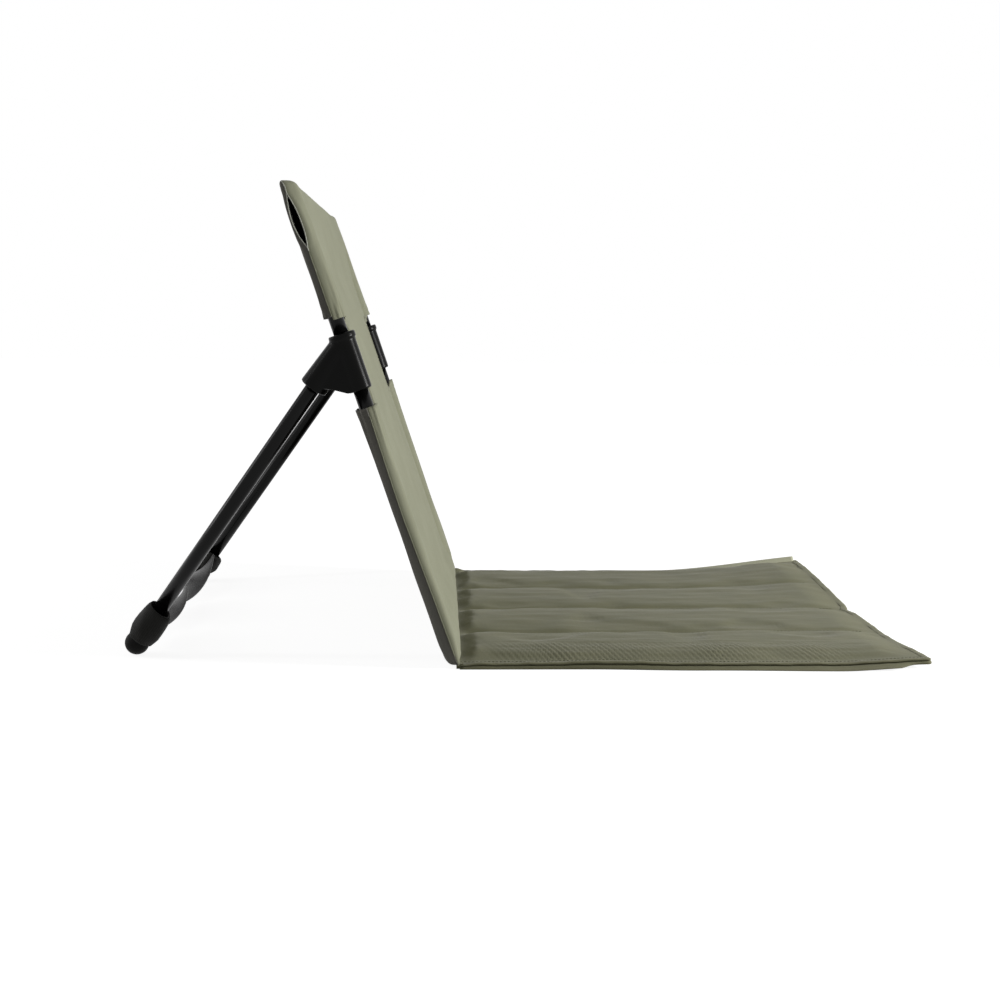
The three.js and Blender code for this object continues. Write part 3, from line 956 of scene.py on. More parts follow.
    def rumple(self, grid: np.ndarray, z: np.ndarray, face: int) -> np.ndarray:
        """Adds the folds that gather at the sleeves' open ends and the cloth's unevenness.

        Args:
            grid: The cloth's points in the plane, as rows by columns.
            z: The heights that the grid was made with.
            face: 1 for the front cloth and -1 for the rear one.

        Returns:
            The moved points.
        """
        p = self.plane
        normal = np.cross(np.gradient(grid, axis=1), np.gradient(grid, axis=0))
        normal = normal / np.maximum(np.linalg.norm(normal, axis=-1, keepdims=True), 1e-6) * face
        arc = arc_lengths(grid)
        out = np.abs(grid[..., 1])
        below = np.exp(-np.clip(p.notch_low - z, 0, None) / 20) * (z <= p.notch_low)
        above = np.exp(-np.clip(z - p.notch_high, 0, None) / 26) * (z >= p.notch_high)
        sleeve = ease(out, 166, 8)
        folds = np.sin(TAU * arc / self.fold_pitch + 1.7 * np.sin(z / 13) + 2.1 * face)
        folds = folds + 0.5 * np.sin(TAU * arc / 4.1 + 0.9 * np.sin(z / 17) + 0.7)
        push = self.fold_height * folds * (below + above) * sleeve
        push = push + 0.22 * ripple(arc, z * 0.3, 21, 1.3 * face) * sleeve
        push = push + 0.2 * ripple(grid[..., 1], z, 95, 2.7 * face)
        push = push + 0.25 * ripple(grid[..., 1], z * 0.5, 38, 0.9 * face) * np.exp(-z / 45)
        sewn = (z > 30) * (z < 325)
        push = push - self.seam_depth * dome(out, self.stitch_side, self.seam_half) * sewn
        edge_hold = smooth((self.edge(z) - out) / 2.0)
        edge_hold = edge_hold * self.bulge(self.top - z) * self.bulge(z + self.half_depth)
        return grid + normal * (push * edge_hold)[..., None]

    def build(self) -> None:
        """Makes the front and rear cloth, the bound notch edges, the seams and the stitches."""
        p, f = self.plane, self.finishes
        sleeves = [f"{side.word}_{level}_sleeve" for side in Side for level in ("upper", "lower")]
        front_nodes = ("top_sleeve", "back_front_panel", *sleeves, "base_sleeve", "back_foam")
        heights, widths = self.heights(), self.widths()
        quad_z = (heights[:-1] + heights[1:]) / 2
        quad_y = np.abs(widths[:-1] + widths[1:]) / 2
        at_notch = (quad_z > p.notch_low) & (quad_z < p.notch_high)
        notches = np.outer(at_notch, quad_y > p.notch_side)
        for face, name, cloth, slot, replaced in (
            (1, "back_front_cloth", f.cover, "front_cloth", front_nodes),
            (-1, "back_rear_cloth", f.rear_cloth, "side_cloth", ("back_rear_panel",)),
        ):
            grid, z, _ = self.surface(face)
            thread = np.stack([arc_lengths(grid), z], axis=-1).reshape(-1, 2)
            points = p.world(grid.reshape(-1, 3))
            piece = self.shell(name, points, grid_faces(*z.shape, notches), thread, face)
            dress(piece, cloth)
            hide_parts(*replaced)
            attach(piece, "back_frame")
        for side in Side:
            self.notch_edge(side)
            self.slit_edges(side)
            self.side_seam(side)
        self.stitches()

    def shell(
        self, name: str, points: np.ndarray, faces: list[list[int]], thread: np.ndarray, face: int
    ) -> bpy.types.Object:
        """Makes a cloth of real thickness from its outer face.

        Args:
            name: The cloth's name.
            points: Points in the row frame, in millimetres; those that no face uses are left out.
            faces: Lists of point numbers.
            thread: Places along and across the threads of every point.
            face: 1 for the front cloth and -1 for the rear one.

        Returns:
            The new object.
        """
        used = sorted({k for f in faces for k in f})
        number = {old: new for new, old in enumerate(used)}
        faces = [[number[k] for k in f[::face]] for f in faces]
        mesh = bpy.data.meshes.new(name)
        mesh.from_pydata((points[used] * MM).tolist(), [], faces)
        add_thread(mesh, thread[used])
        piece = link(mesh, name)
        thicken = piece.modifiers.new("cloth", "SOLIDIFY")
        thicken.thickness = self.cloth * MM
        thicken.offset = -1
        apply_modifiers(piece)
        return piece

    def notch_edge(self, side: Side) -> None:
        """Binds the panel's edge in a notch with a folded tape.

        Args:
            side: The side of the back.
        """
        p = self.plane
        radius, start, turns = 7.0, p.panel_side + 1, 6
        line = [(start, p.notch_low), (p.notch_side + radius, p.notch_low)]
        for step in range(1, turns + 1):
            angle = QUARTER * step / turns
            line.append((
                p.notch_side + radius * (1 - math.sin(angle)),
                p.notch_low + radius * (1 - math.cos(angle)),
            ))
        top = [(y, p.notch_low + p.notch_high - z) for y, z in reversed(line)]
        middle = (p.notch_low + p.notch_high) / 2
        line = [*line, *[(p.notch_side, middle + d) for d in (-18, -6, 6, 18)], *top]
        path = [Vector((0, side.value * y, z)) for y, z in line]
        # The tape's section: a fold over the edge, and a flap inwards on the front and the rear.
        front, rear, wide, proud = self.panel_depth + 0.55, self.panel_depth - 0.5, 5.5, 0.7
        outline = [(-rear, wide)]
        for k in range(9):
            angle = math.pi * k / 8
            deep = rear if k < 4 else front
            outline.append((-deep * math.cos(angle), -2 * proud * math.sin(angle)))
        inner_front, inner_rear = front - self.cloth, self.cloth - rear
        outline += [(front, wide), (inner_front, wide), (inner_front, 0.8), (inner_rear, 0.8),
                    (inner_rear, wide)]
        outline = [(a, -side.value * b) for a, b in reversed(outline)]
        points, faces = sweep(path, outline, Vector((1, 0, 0)))
        piece = make_piece(f"{side.word}_notch_tape", p.world(points), faces, points[:, 1:])
        dress(piece, self.finishes.cover)
        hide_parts(f"{side.word}_notch_binding")
        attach(piece, "back_frame")

    def side_cord(self, side: Side, low: float, high: float, offset: float, radius: float) -> Shape:
        """A thin round cord along the side seam.

        Args:
            side: The side of the back.
            low: The height at which it starts.
            high: The height at which it ends.
            offset: 1 or -1 for the slit's front or rear lip, and 0 for the seam itself.
            radius: The cord's radius.

        Returns:
            Points and faces.
        """
        z = np.linspace(low, high, max(12, round((high - low) / 2.2)))
        x = self.seam_shift(z) + offset * self.lips(z) - self.tip(z)
        y = side.value * (self.edge(z) + 0.1)
        path = [Vector(q) for q in np.stack([x, y, z + self.ear_rise(z)], axis=-1)]
        return sweep(path, round_outline(radius, 8), Vector((1, 0, 0)))

    def slit_edges(self, side: Side) -> None:
        """Adds the pale cut edges of the cloth at the slit and over the top corner.

        Args:
            side: The side of the back.
        """
        radius = 0.42
        points, faces = gather([
            self.side_cord(side, self.slit_low - 3, self.top - 1.2, 1, radius),
            self.side_cord(side, self.slit_low - 1, self.slit_high + 1, -1, radius),
        ])
        piece = make_piece(f"{side.word}_slit_edge", self.plane.world(points), faces, points[:, 1:])
        dress(piece, self.finishes.pale_edge)
        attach(piece, "back_frame")

    def side_seam(self, side: Side) -> None:
        """Adds the ridge of the closed side seam below the slit and beside the lower tube.

        Args:
            side: The side of the back.
        """
        p = self.plane
        points, faces = gather([
            self.side_cord(side, p.notch_high + 9, self.slit_low - 3, 0, 0.34),
            self.side_cord(side, 2.0, p.notch_low - 1, 0, 0.38),
        ])
        piece = make_piece(f"{side.word}_seam_ridge", p.world(points), faces, points[:, 1:])
        dress(piece, self.finishes.ridge)
        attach(piece, "back_frame")

    def stitches(self) -> None:
        """Sews the rows of stitches beside the tubes, on both faces."""
        p = self.plane
        spans = ((self.stitch_low, p.notch_low - 3), (p.notch_high + 3, self.stitch_high))
        parts = []
        for face in (1, -1):
            grid, z, y = self.surface(face)
            middle_row, proud = y[len(y) // 2], np.array((face * 0.25, 0, 0))
            for side in Side:
                column = int(np.argmin(np.abs(middle_row - side.value * self.stitch_side)))
                for low, high in spans:
                    rows = [r for r in range(len(z)) if low < z[r, column] < high]
                    parts.append(stitch_row([Vector(grid[r, column] + proud) for r in rows]))
        points, faces = gather(parts)
        piece = make_piece("back_stitches", p.world(points), faces, points[:, 1:])
        dress(piece, self.finishes.thread)
        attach(piece, "back_frame")


@dataclass
class SeatPad(SubAssembly):
    """The padded seat: two cloths sewn into four channels of foam, bound on three sides."""

    half_width: float = 200.0
    start: float = 3.5
    end: float = 386.5
    near_reach: float = 5.5
    hem: float = 7.5
    channel_side: float = 186.7
    channels: int = 4
    rise: float = 4.6
    sheet: float = 2.6
    flap_end: float = 6.0
    ramp: float = 17.0
    front_ramp: float = 30.0
    far_lift: float = 13.6
    near_lift: float = 3.6
    settle_step: float = 4.6
    settle_cap: float = 0.9
    settle_frames: int = 20
    row_step: float = 1.5
    curl_start: float = 222.0
    pucker_pitch: float = 4.9
    pucker_height: float = 1.15
    edge_inset: float = 1.4
    top_points: np.ndarray = field(init=False, repr=False)

    def lift(self, x: np.ndarray, y: np.ndarray) -> np.ndarray:
        """How far the pad's underside stands off the floor, at the curled front corners.

        Args:
            x: Places along the seat.
            y: Places across it.

        Returns:
            The height at each place.
        """
        curl = self.half_width - 215
        far = ease(x, self.curl_start, 205) * ease(y, curl, 205)
        near = smooth((x - (self.end - 75)) / 80) * smooth((-y - (self.half_width - 110)) / 100)
        return self.far_lift * far + self.near_lift * near

    def front(self, y: np.ndarray) -> np.ndarray:
        """Where the front edge lies at each place across: it dips at the middle seam."""
        dip = 4.5 * np.exp(-np.abs(y + 2) / 9.0)
        return self.end - dip + self.near_reach * smooth((-y - (self.half_width - 70)) / 70)

    def seam(self, k: int, x: np.ndarray) -> np.ndarray:
        """The course of a channel seam, which wavers a little along the seat."""
        place = -self.channel_side + 2 * self.channel_side / self.channels * k
        return place + 1.3 * np.sin(x / 52 + 2.1 * k) + 0.7 * np.sin(x / 23 + k)

    def groove(self, x: np.ndarray, y: np.ndarray) -> np.ndarray:
        """How deep the seams draw the pad in.

        Args:
            x: Places along the seat.
            y: Places across it.

        Returns:
            0 between the seams to 1 on them, and less towards the front edge.
        """
        deep = np.zeros_like(x)
        for k in range(1, self.channels):
            gap = np.abs(y - self.seam(k, x))
            soft = 0.55 * np.exp(-(gap / 13.0) ** 1.3) + 0.45 * np.exp(-((gap / 3.2) ** 2))
            fade = 1 - 0.45 * ease(x, 150, 200)
            deep = np.maximum(deep, soft * fade)
        return deep

    def pad_top(self, x: np.ndarray, y: np.ndarray) -> np.ndarray:
        """The height of the upper cloth above the underside, before it settles.

        Args:
            x: Places along the seat.
            y: Places across it.

        Returns:
            The height at each place.
        """
        inside = smooth((self.channel_side + 2 - np.abs(y)) / np.where(y < 0, 27, 16)) ** 0.7
        rear = smooth((x - self.flap_end) / self.ramp)
        front = smooth((self.front(y) - self.hem - x) / self.front_ramp) ** 0.8
        pad = self.rise * (1 - 0.75 * self.groove(x, y)) * inside * rear * front
        edge = 1.7 * np.maximum(1 - inside, 1 - front) * (1 - ease(y, 60, 120))
        return self.sheet + edge * ease(x, 6, 14) + pad

    def creases(self, x: np.ndarray, y: np.ndarray) -> np.ndarray:
        """Adds what the settling is too coarse for: lines, dents by the crease and puckers.

        Args:
            x: Places along the seat.
            y: Places across it.

        Returns:
            How far each place rises or sinks.
        """
        long = 0.42 * ripple(x * 0.10, y, 26, 1.7) + 0.22 * ripple(x * 0.22, y, 12, 4.2)
        long = long * smooth((self.channel_side - np.abs(y)) / 10) * ease(x, 26, 24)
        long = long * smooth((self.front(y) - self.hem - 4 - x) / 34)
        rear = dome(x, 20, 10) * smooth((self.channel_side - np.abs(y)) / 12)
        dents = np.zeros_like(x)
        for k in range(1, self.channels):
            dents = dents - 1.5 * dome(y, self.seam(k, x), 9) * dome(x, 21, 8)
        # Place across, place along, depth and width of the single dents by the crease.
        for place, at, deep, wide in (
            (-138, 17, 0.9, 17), (-36, 15, 0.8, 13), (52, 18, 0.9, 12), (133, 16, 0.8, 19),
        ):
            dents = dents - deep * np.exp(-((y - place) / wide) ** 2 - ((x - at) / 7) ** 2)
        dents = dents + 0.35 * ripple(x, y * 0.7, 17, 0.6) * rear
        # The near edge is gathered in puckers, which run askew.
        wave = (x + 0.32 * y + 2.2 * ripple(x, y * 0.5, 83, 3.3)) / self.pucker_pitch
        ribs = 1 - np.abs(np.sin(math.pi * wave)) ** 0.8
        band = ease(-y, 138, 16) * (1 - ease(-y, 187, 5))
        band = band * ease(x, 22, 26) * ease(352, x, 50)
        band = band * (0.6 + 0.4 * ripple(x, y * 0.2, 74, 2.2))
        lump = 3.4 * np.exp(-((y - 194) / 9) ** 2 - ((x - 9) / 6) ** 2)
        return long + dents + self.pucker_height * ribs * band + lump

    def rows(self) -> np.ndarray:
        """Shares along the pad's length, from the crease to the front edge."""
        return np.linspace(0, 1, 1 + round((self.end - self.start) / self.row_step))

    def columns(self) -> np.ndarray:
        """Places along Y of the pad's grid, close together at the near hem."""
        edge = self.half_width - self.edge_inset
        return np.concatenate([stations(-edge, -130, 1.7), stations(-130, edge, 2.9), [edge]])

    def settle(self, xs: np.ndarray, ys: np.ndarray) -> np.ndarray:
        """Lets the upper cloth puff and pucker between its seams, by a cloth simulation.

        Args:
            xs: Places along X of a coarse grid, in millimetres.
            ys: Places along Y of the grid.

        Returns:
            How far each place rises or sinks, in millimetres.
        """
        x, y = np.meshgrid(xs, ys, indexing="ij")
        z = self.pad_top(x, y)
        points = np.stack([x, y, z], axis=-1).reshape(-1, 3)
        piece = make_piece("settling_cloth", points, grid_faces(*x.shape))
        held = np.zeros_like(x)
        hemmed = (np.abs(y) > self.channel_side) | (x > self.end - self.hem - 4)
        held[hemmed | (x < self.flap_end)] = 1
        for k in range(1, self.channels):
            held[np.abs(y - self.seam(k, x)) < self.settle_step * 0.55] = 1
        group = piece.vertex_groups.new(name="sewn")
        group.add([int(k) for k in np.flatnonzero(held.ravel())], 1.0, "REPLACE")
        cloth = piece.modifiers.new("settle", "CLOTH")
        settings = cloth.settings
        settings.vertex_group_mass = "sewn"
        settings.quality = 6
        settings.mass = 0.25
        settings.tension_stiffness = settings.compression_stiffness = 20
        settings.shear_stiffness = 8
        settings.bending_stiffness = 0.4
        settings.shrink_min = -0.012
        settings.use_pressure = True
        settings.uniform_pressure_force = 0.4
        settings.effector_weights.gravity = 0
        cloth.collision_settings.use_collision = False
        cloth.point_cache.frame_start, cloth.point_cache.frame_end = 1, self.settle_frames
        for frame in range(1, self.settle_frames + 1):
            bpy.context.scene.frame_set(frame)
        made = piece.evaluated_get(bpy.context.evaluated_depsgraph_get())
        flat = np.zeros(3 * len(made.data.vertices), np.float32)
        made.data.vertices.foreach_get("co", flat)
        rise = flat.reshape(-1, 3)[:, 2].reshape(x.shape) / MM - z
        bpy.context.scene.frame_set(1)
        bpy.data.objects.remove(piece)
        # Smoothed mostly along the seat, so that the folds run lengthwise.
        for axis, passes in ((0, 7), (1, 1)):
            for _ in range(passes):
                ahead, behind = np.roll(rise, 1, axis), np.roll(rise, -1, axis)
                rise = 0.5 * rise + 0.25 * (ahead + behind)
        return self.settle_cap * np.tanh(rise / self.settle_cap)

    def settled(self, x: np.ndarray, y: np.ndarray) -> np.ndarray:
        """The settled cloth's rise at each place of the fine grid.

        Args:
            x: Places along the seat.
            y: Places across it.

        Returns:
            The rise at each place, which is nothing in a quick check.
        """
        edge = self.half_width - 2
        xs = np.arange(self.start, self.end, self.settle_step)
        ys = np.linspace(-edge, edge, round(2 * self.half_width / self.settle_step))
        rise = self.settle(xs, ys)
        a = np.clip((x - xs[0]) / (xs[1] - xs[0]), 0, len(xs) - 1.001)
        b = np.clip((y - ys[0]) / (ys[1] - ys[0]), 0, len(ys) - 1.001)
        i, j = a.astype(int), b.astype(int)
        p, q = smooth(a - i), smooth(b - j)
        low = rise[i, j] * (1 - p) + rise[i + 1, j] * p
        high = rise[i, j + 1] * (1 - p) + rise[i + 1, j + 1] * p
        return low * (1 - q) + high * q

    def build(self) -> None:
        """Makes the pad, its edge binding and its stitches."""
        share, ys = self.rows(), self.columns()
        _, y = np.meshgrid(share, ys, indexing="ij")
        x = self.start + share[:, None] * (self.front(y) - self.edge_inset - self.start)
        lift = self.lift(x, y)
        top = self.pad_top(x, y) + self.creases(x, y) + self.settled(x, y)
        self.top_points = np.stack([x, y, lift + np.maximum(top, 1.2)], axis=-1)
        bottom = np.stack([x, y, lift + 0.05], axis=-1)
        rows, columns = x.shape
        count = rows * columns
        points = np.concatenate([self.top_points.reshape(-1, 3), bottom.reshape(-1, 3)])
        faces = grid_faces(rows, columns)
        faces += [[count + k for k in reversed(f)] for f in grid_faces(rows, columns)]
        rim = list(range(columns)) + [r * columns + columns - 1 for r in range(1, rows)]
        rim += [(rows - 1) * columns + c for c in range(columns - 2, -1, -1)]
        rim += [r * columns for r in range(rows - 2, 0, -1)]
        for k, a in enumerate(rim):
            b = rim[(k + 1) % len(rim)]
            faces.append([a, b, count + b, count + a])
        pad = make_piece("seat_pad", points, faces, points[:, :2])
        dress(pad, self.finishes.seat_cloth)
        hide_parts("seat_top_fabric", "seat_bottom_fabric", "crease_strip",
                    *[f"seat_foam_{k + 1}" for k in range(self.channels)])
        self.hinge(pad)
        self.binding()
        self.hem_face()
        self.stitches()

    def hinge(self, piece: bpy.types.Object) -> None:
        """Bakes a piece's placement into its mesh."""
        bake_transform(piece)

    def edge_path(self) -> list[tuple[float, float, float, float]]:
        """The pad's edge on three sides, round the front corners.

        Returns:
            The place on the floor and the outward direction of each point.
        """
        w, r = self.half_width, 4.0
        near, far = float(self.front(np.array(-w))), float(self.front(np.array(w)))
        bend = np.linspace(0, QUARTER, 6)
        path = [(x, -w, 0.0, -1.0) for x in stations(6, near - r, 4)]
        path += [(near - r + r * math.sin(a), -w + r - r * math.cos(a), math.sin(a), -math.cos(a))
                 for a in bend]
        path += [(float(self.front(np.array(y))), y, 1.0, 0.0)
                 for y in stations(-w + r, w - r, 3)[1:]]
        path += [(far - r + r * math.cos(a), w - r + r * math.sin(a), math.cos(a), math.sin(a))
                 for a in bend]
        path += [(x, w, 0.0, 1.0) for x in stations(6, far - r, 4)[::-1]]
        return path

    def hem_height(self, x: float, y: float) -> float:
        """The bound edge's height, which is lower on the far side."""
        raised = 1.7 * math.exp(-((x - 125) / 42) ** 2) * (y < -150)
        return 4.6 - 1.7 * float(ease(y, 60, 120)) + raised

    def binding(self) -> None:
        """Makes the folded binding round the edge, with the groove where the two cloths meet.

        Its section is pairs of a distance out from the edge and a share of the edge's height. Below
        the groove the near side flares out, as the lower cloth's flange does there.
        """
        outline = ((-11.5, 0.5), (-8.2, 0.86), (-4.6, 1.0), (-2.2, 1.0), (-0.8, 0.94), (-0.2, 0.82),
                   (-0.5, 0.7), (-2.0, 0.62), (-2.0, 0.54), (-0.8, 0.5), (0.0, 0.44), (0.4, 0.12),
                   (0.0, 0.0), (-9.0, 0.0), (-11.5, 0.2))
        groove_share = 0.46
        points, thread, run = [], [], 0.0
        path = self.edge_path()
        for k, (x, y, out_x, out_y) in enumerate(path):
            if k:
                run += math.hypot(x - path[k - 1][0], y - path[k - 1][1])
            tall = self.hem_height(x, y) * (0.55 + 0.45 * float(ease(x, 5, 16)))
            spread = 0.8 + 4.0 * float(ease(x, 110, 90)) + 3.2 * float(ease(x, 210, 120))
            spread *= (out_y < -0.5) * float(ease(378, x, 16))
            for out, share in outline:
                under = share < groove_share and out > -1
                flare = spread * (1 - share / groove_share) if under else 0.0
                px, py = x + (out + flare) * out_x, y + (out + flare) * out_y
                wave = (0.22 * math.sin(run / 7.3) + 0.16 * math.sin(run / 2.9 + 1.1)) * share
                points.append((px, py, float(self.lift(px, py)) + tall * share + wave))
                thread.append((run, out + tall * share))
        faces = ring_faces(len(path), len(outline))
        piece = make_piece("seat_edge_tape", np.array(points), faces, np.array(thread))
        dress(piece, self.finishes.binding)
        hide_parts("seat_edge_binding")
        self.hinge(piece)

    def hem_face(self) -> None:
        """Makes the pale inner fold of the binding that shows where the far corner curls up."""
        outline = ((-6.6, 0.0), (-6.2, 0.5), (-1.6, 4.6), (-0.7, 4.9), (0.1, 4.4), (0.2, 2.0),
                   (-0.4, 0.0))
        start, length = 228, 153
        xs = np.linspace(start, float(self.front(np.array(self.half_width))) - 5, 60)
        rings = []
        for x in xs:
            swell = 0.06 + 0.94 * (max(0.0, x - start) / length) ** 1.25
            tall = self.hem_height(x, self.half_width)
            ring = []
            for out, height in outline:
                y = self.half_width + out
                ring.append((x, y, float(self.lift(x, y)) + tall - 0.4 + height * swell))
            rings.append(ring)
        points = np.array(rings).reshape(-1, 3)
        faces = ring_faces(len(xs), len(outline))
        piece = make_piece("seat_far_hem", points, faces, points[:, :2])
        dress(piece, self.finishes.fold)
        self.hinge(piece)

    def stitches(self) -> None:
        """Sews the channel seams and the row that holds the binding."""
        parts = []
        xs, ys = self.top_points[:, 0, 0], self.top_points[0, :, 1]
        low, high = self.flap_end + 12, self.end - self.hem - 12
        for k in range(1, self.channels):
            path = []
            for row, x in enumerate(xs):
                if low < x < high:
                    y = float(self.seam(k, np.array(x)))
                    column = int(np.argmin(np.abs(ys - y)))
                    path.append(Vector((x, y, self.top_points[row, column, 2] + 0.12)))
            parts.append(stitch_row(path))
        path = []
        inset = 6.4
        for x, y, out_x, out_y in self.edge_path():
            px, py = x - inset * out_x, y - inset * out_y
            if not (y > self.half_width - 1 and x > self.curl_start):
                tall = float(self.lift(px, py)) + self.hem_height(x, y)
                path.append(Vector((px, py, tall - 0.08)))
            elif len(path) > 2:
                parts.append(stitch_row(path))
                path = []
        parts.append(stitch_row(path))
        points, faces = gather(parts)
        piece = make_piece("seat_stitches", points, faces, points[:, :2])
        dress(piece, self.finishes.thread)
        self.hinge(piece)


@dataclass
class Leg(SubAssembly):
    """One leg: the moulded connector, the steel tube, the rubber foot and its webbing loop."""

    side: Side
    plane: BackPlane
    junction: float = 265.7
    slant: float = math.radians(54.05)
    splay: float = math.radians(7.3)
    foot_radius: float = 9.9
    foot_height: float = 10.1
    sleeve_radius: float = 9.6
    sleeve_low: float = -39.2
    sleeve_high: float = 5.0
    socket_root: float = 9.6
    socket_mouth: float = 11.3
    socket_reach: float = 43.8
    strap_height: float = 16.4
    loop_start: float = 4.4
    collar_radius: float = 10.8
    bore_radius: float = 6.45
    sides: int = 64
    swing: Matrix = field(init=False, repr=False)
    shaft: Matrix = field(init=False, repr=False)
    along: Vector = field(init=False, repr=False)
    reach: float = field(init=False, repr=False)

    def __post_init__(self) -> None:
        """Works out the placements of the leg and how far down its axis the foot lies."""
        place = Matrix.Translation((0, self.side.value * self.plane.tube_side, self.junction))
        turn = Matrix.Rotation(self.side.value * self.splay, 4, "Z")
        self.swing = self.plane.matrix() @ place @ turn
        self.shaft = self.swing @ Matrix.Rotation(self.slant, 4, "Y")
        start = self.shaft.translation
        self.along = (self.shaft.to_3x3() @ Vector((0, 0, -1))).normalized()
        self.reach = (start.z - self.foot_height) / -self.along.z

    @property
    def cuff_share(self) -> float:
        """How far the webbing loop is pulled up its foot; the left one has slid down a little."""
        return 0.6 if self.side is Side.LEFT else 1.0

    @property
    def body(self) -> str:
        """The CAD body that the leg's pieces ride on."""
        return f"{self.side.word}_leg"

    def finish(
        self, piece: bpy.types.Object, material: bpy.types.Material, slot: str, node: str
    ) -> None:
        """Dresses a piece, lets it stand for its node and ride on the leg.

        Args:
            piece: The piece.
            material: Its finish.
            slot: The name of a material slot; not used.
            node: The node that it stands for, without the side.
        """
        dress(piece, material)
        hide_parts(f"{self.side.word}_{node}")
        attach(piece, self.body)

    def build(self) -> None:
        """Makes the leg's four pieces."""
        self.connector()
        self.tube()
        self.foot()
        self.loop()

    def tube(self) -> None:
        """Makes the steel tube, from inside the socket to inside the foot."""
        start, end = -16.3, -self.reach + 5.7
        path = [Vector((0, 0, z)) for z in (start, -80, -self.reach / 2, end)]
        points, faces = sweep(path, round_outline(self.plane.tube_radius, 40), Vector((1, 0, 0)))
        piece = make_piece(f"{self.side.word}_leg_pole", placed(self.shaft, points), faces)
        self.finish(piece, self.finishes.coated_steel, "coated_tube", "leg_tube")

    def foot(self) -> None:
        """Makes the rubber foot: a ball pressed flat by the floor, and a shank round the tube."""
        profile = [(0.02, -self.reach - self.foot_radius)]
        ball_steps, ball_end = 14, 1.95
        for step in range(1, ball_steps + 1):
            angle = step / ball_steps * ball_end
            profile.append((
                self.foot_radius * math.sin(angle),
                -self.reach - self.foot_radius * math.cos(angle),
            ))
        low, rim = -self.reach + 6.5, -self.reach + 31 * self.cuff_share
        profile += [(9.1, low), (8.4, low + 3), (7.9, low + 6), (7.9, rim - 1.2), (7.2, rim),
                    (6.3, rim), (6.1, rim - 1.5), (0.02, rim - 1.5)]
        points, faces = lathe(profile, 48)
        points = placed(self.shaft, points)
        points[:, 2] = np.maximum(points[:, 2], 0.0)
        piece = make_piece(f"{self.side.word}_foot_cap", points, faces)
        self.finish(piece, self.finishes.rubber, "foot_rubber", "foot")

    def loop(self) -> None:
        """Makes the loose webbing loop round the foot, with the tail that the strap is sewn to."""
        outer = ((9.0, 4.6), (9.9, 4.4), (10.3, 6.0), (11.1, 8.8), (12.1, 12.5), (12.4, 17.0),
                 (12.3, 22.0), (12.0, 27.0), (11.6, 31.0), (11.0, 33.6), (10.0, 35.4), (9.2, 35.8),
                 (8.6, 34.8), (8.5, 30.0), (8.8, 20.0), (8.7, 10.0))
        inward, count, start = -self.side.value, 72, self.loop_start
        points, thread = [], []
        for k in range(count):
            angle = TAU * k / count
            facing = max(0.0, math.sin(angle) * inward)
            for radius, height in outer:
                tail = 4.6 * facing ** 6 * (radius > 10.2)
                tail *= float(ease(height, 6, 5) * ease(35, height, 5))
                sway = 0.3 * math.sin(2 * angle + height / 9)
                sway += 0.22 * math.sin(5 * angle + height / 4)
                reach = radius + tail + (sway + 0.15 + 0.55 * math.cos(angle)) * (radius > 9.5)
                lean = -1.2 * math.cos(angle) * float(ease(height, 22, 12))
                tall = start + (height + lean - start) * self.cuff_share
                reach -= 2.5 * (1 - self.cuff_share) * (radius > 9.5)
                x, y = reach * math.cos(angle), reach * math.sin(angle)
                points.append((x, y, -self.reach + tall))
                thread.append((angle * 10, height))
        piece = make_piece(
            f"{self.side.word}_foot_webbing", placed(self.shaft, np.array(points)),
            ring_faces(count, len(outer), closed=True), np.array(thread),
        )
        self.finish(piece, self.finishes.webbing, "webbing", "foot_loop")

    def connector(self) -> None:
        """Makes the moulded connector as one blended body with its bores."""
        radius, low, high = self.sleeve_radius, self.sleeve_low, self.sleeve_high
        collar, mouth, end = self.collar_radius, self.socket_mouth, -self.socket_reach
        upright, tilt = Matrix.Identity(4), Matrix.Rotation(self.slant, 4, "Y")
        sleeve = [(radius - 0.7, low), (radius, low + 0.7), (radius, high - 2.6),
                  (collar, high - 2.2), (collar, high + 1.9), (collar - 0.7, high + 2.5)]
        socket = [(mouth - 0.6, end), (mouth, end + 0.6), (mouth - 0.1, end + 4),
                  (self.socket_root, -4)]
        shape = bmesh.new()
        self.add_solid(shape, *lathe(sleeve, self.sides), upright)
        self.add_solid(shape, *lathe(socket, self.sides), tilt)
        self.add_solid(shape, *self.web(), upright)
        mesh = bpy.data.meshes.new("connector_blank")
        shape.to_mesh(mesh)
        shape.free()
        blank = link(mesh, f"{self.side.word}_y_connector")
        melt = blank.modifiers.new("melt", "REMESH")
        melt.mode = "VOXEL"
        melt.voxel_size = 0.75 * MM
        soften = blank.modifiers.new("soften", "SMOOTH")
        soften.factor, soften.iterations = 0.5, 5
        cutters = []
        for start, stop, turn in (
            (low - 5, low + 8, upright),
            (high - 8, high + 8, upright),
            (end - 5, end + 8, tilt),
        ):
            points, faces = lathe([(self.bore_radius, start), (self.bore_radius, stop)], 48)
            cutter = make_piece("cutter", placed(turn, points), faces)
            bore = blank.modifiers.new("bore", "BOOLEAN")
            bore.operation, bore.solver, bore.object = "DIFFERENCE", "EXACT", cutter
            cutters.append(cutter)
        apply_modifiers(blank)
        for cutter in cutters:
            bpy.data.objects.remove(cutter)
        metres = self.swing.copy()
        metres.translation = metres.translation * MM
        blank.data.transform(metres)
        self.finish(blank, self.finishes.nylon, "moulded_nylon", "connector")

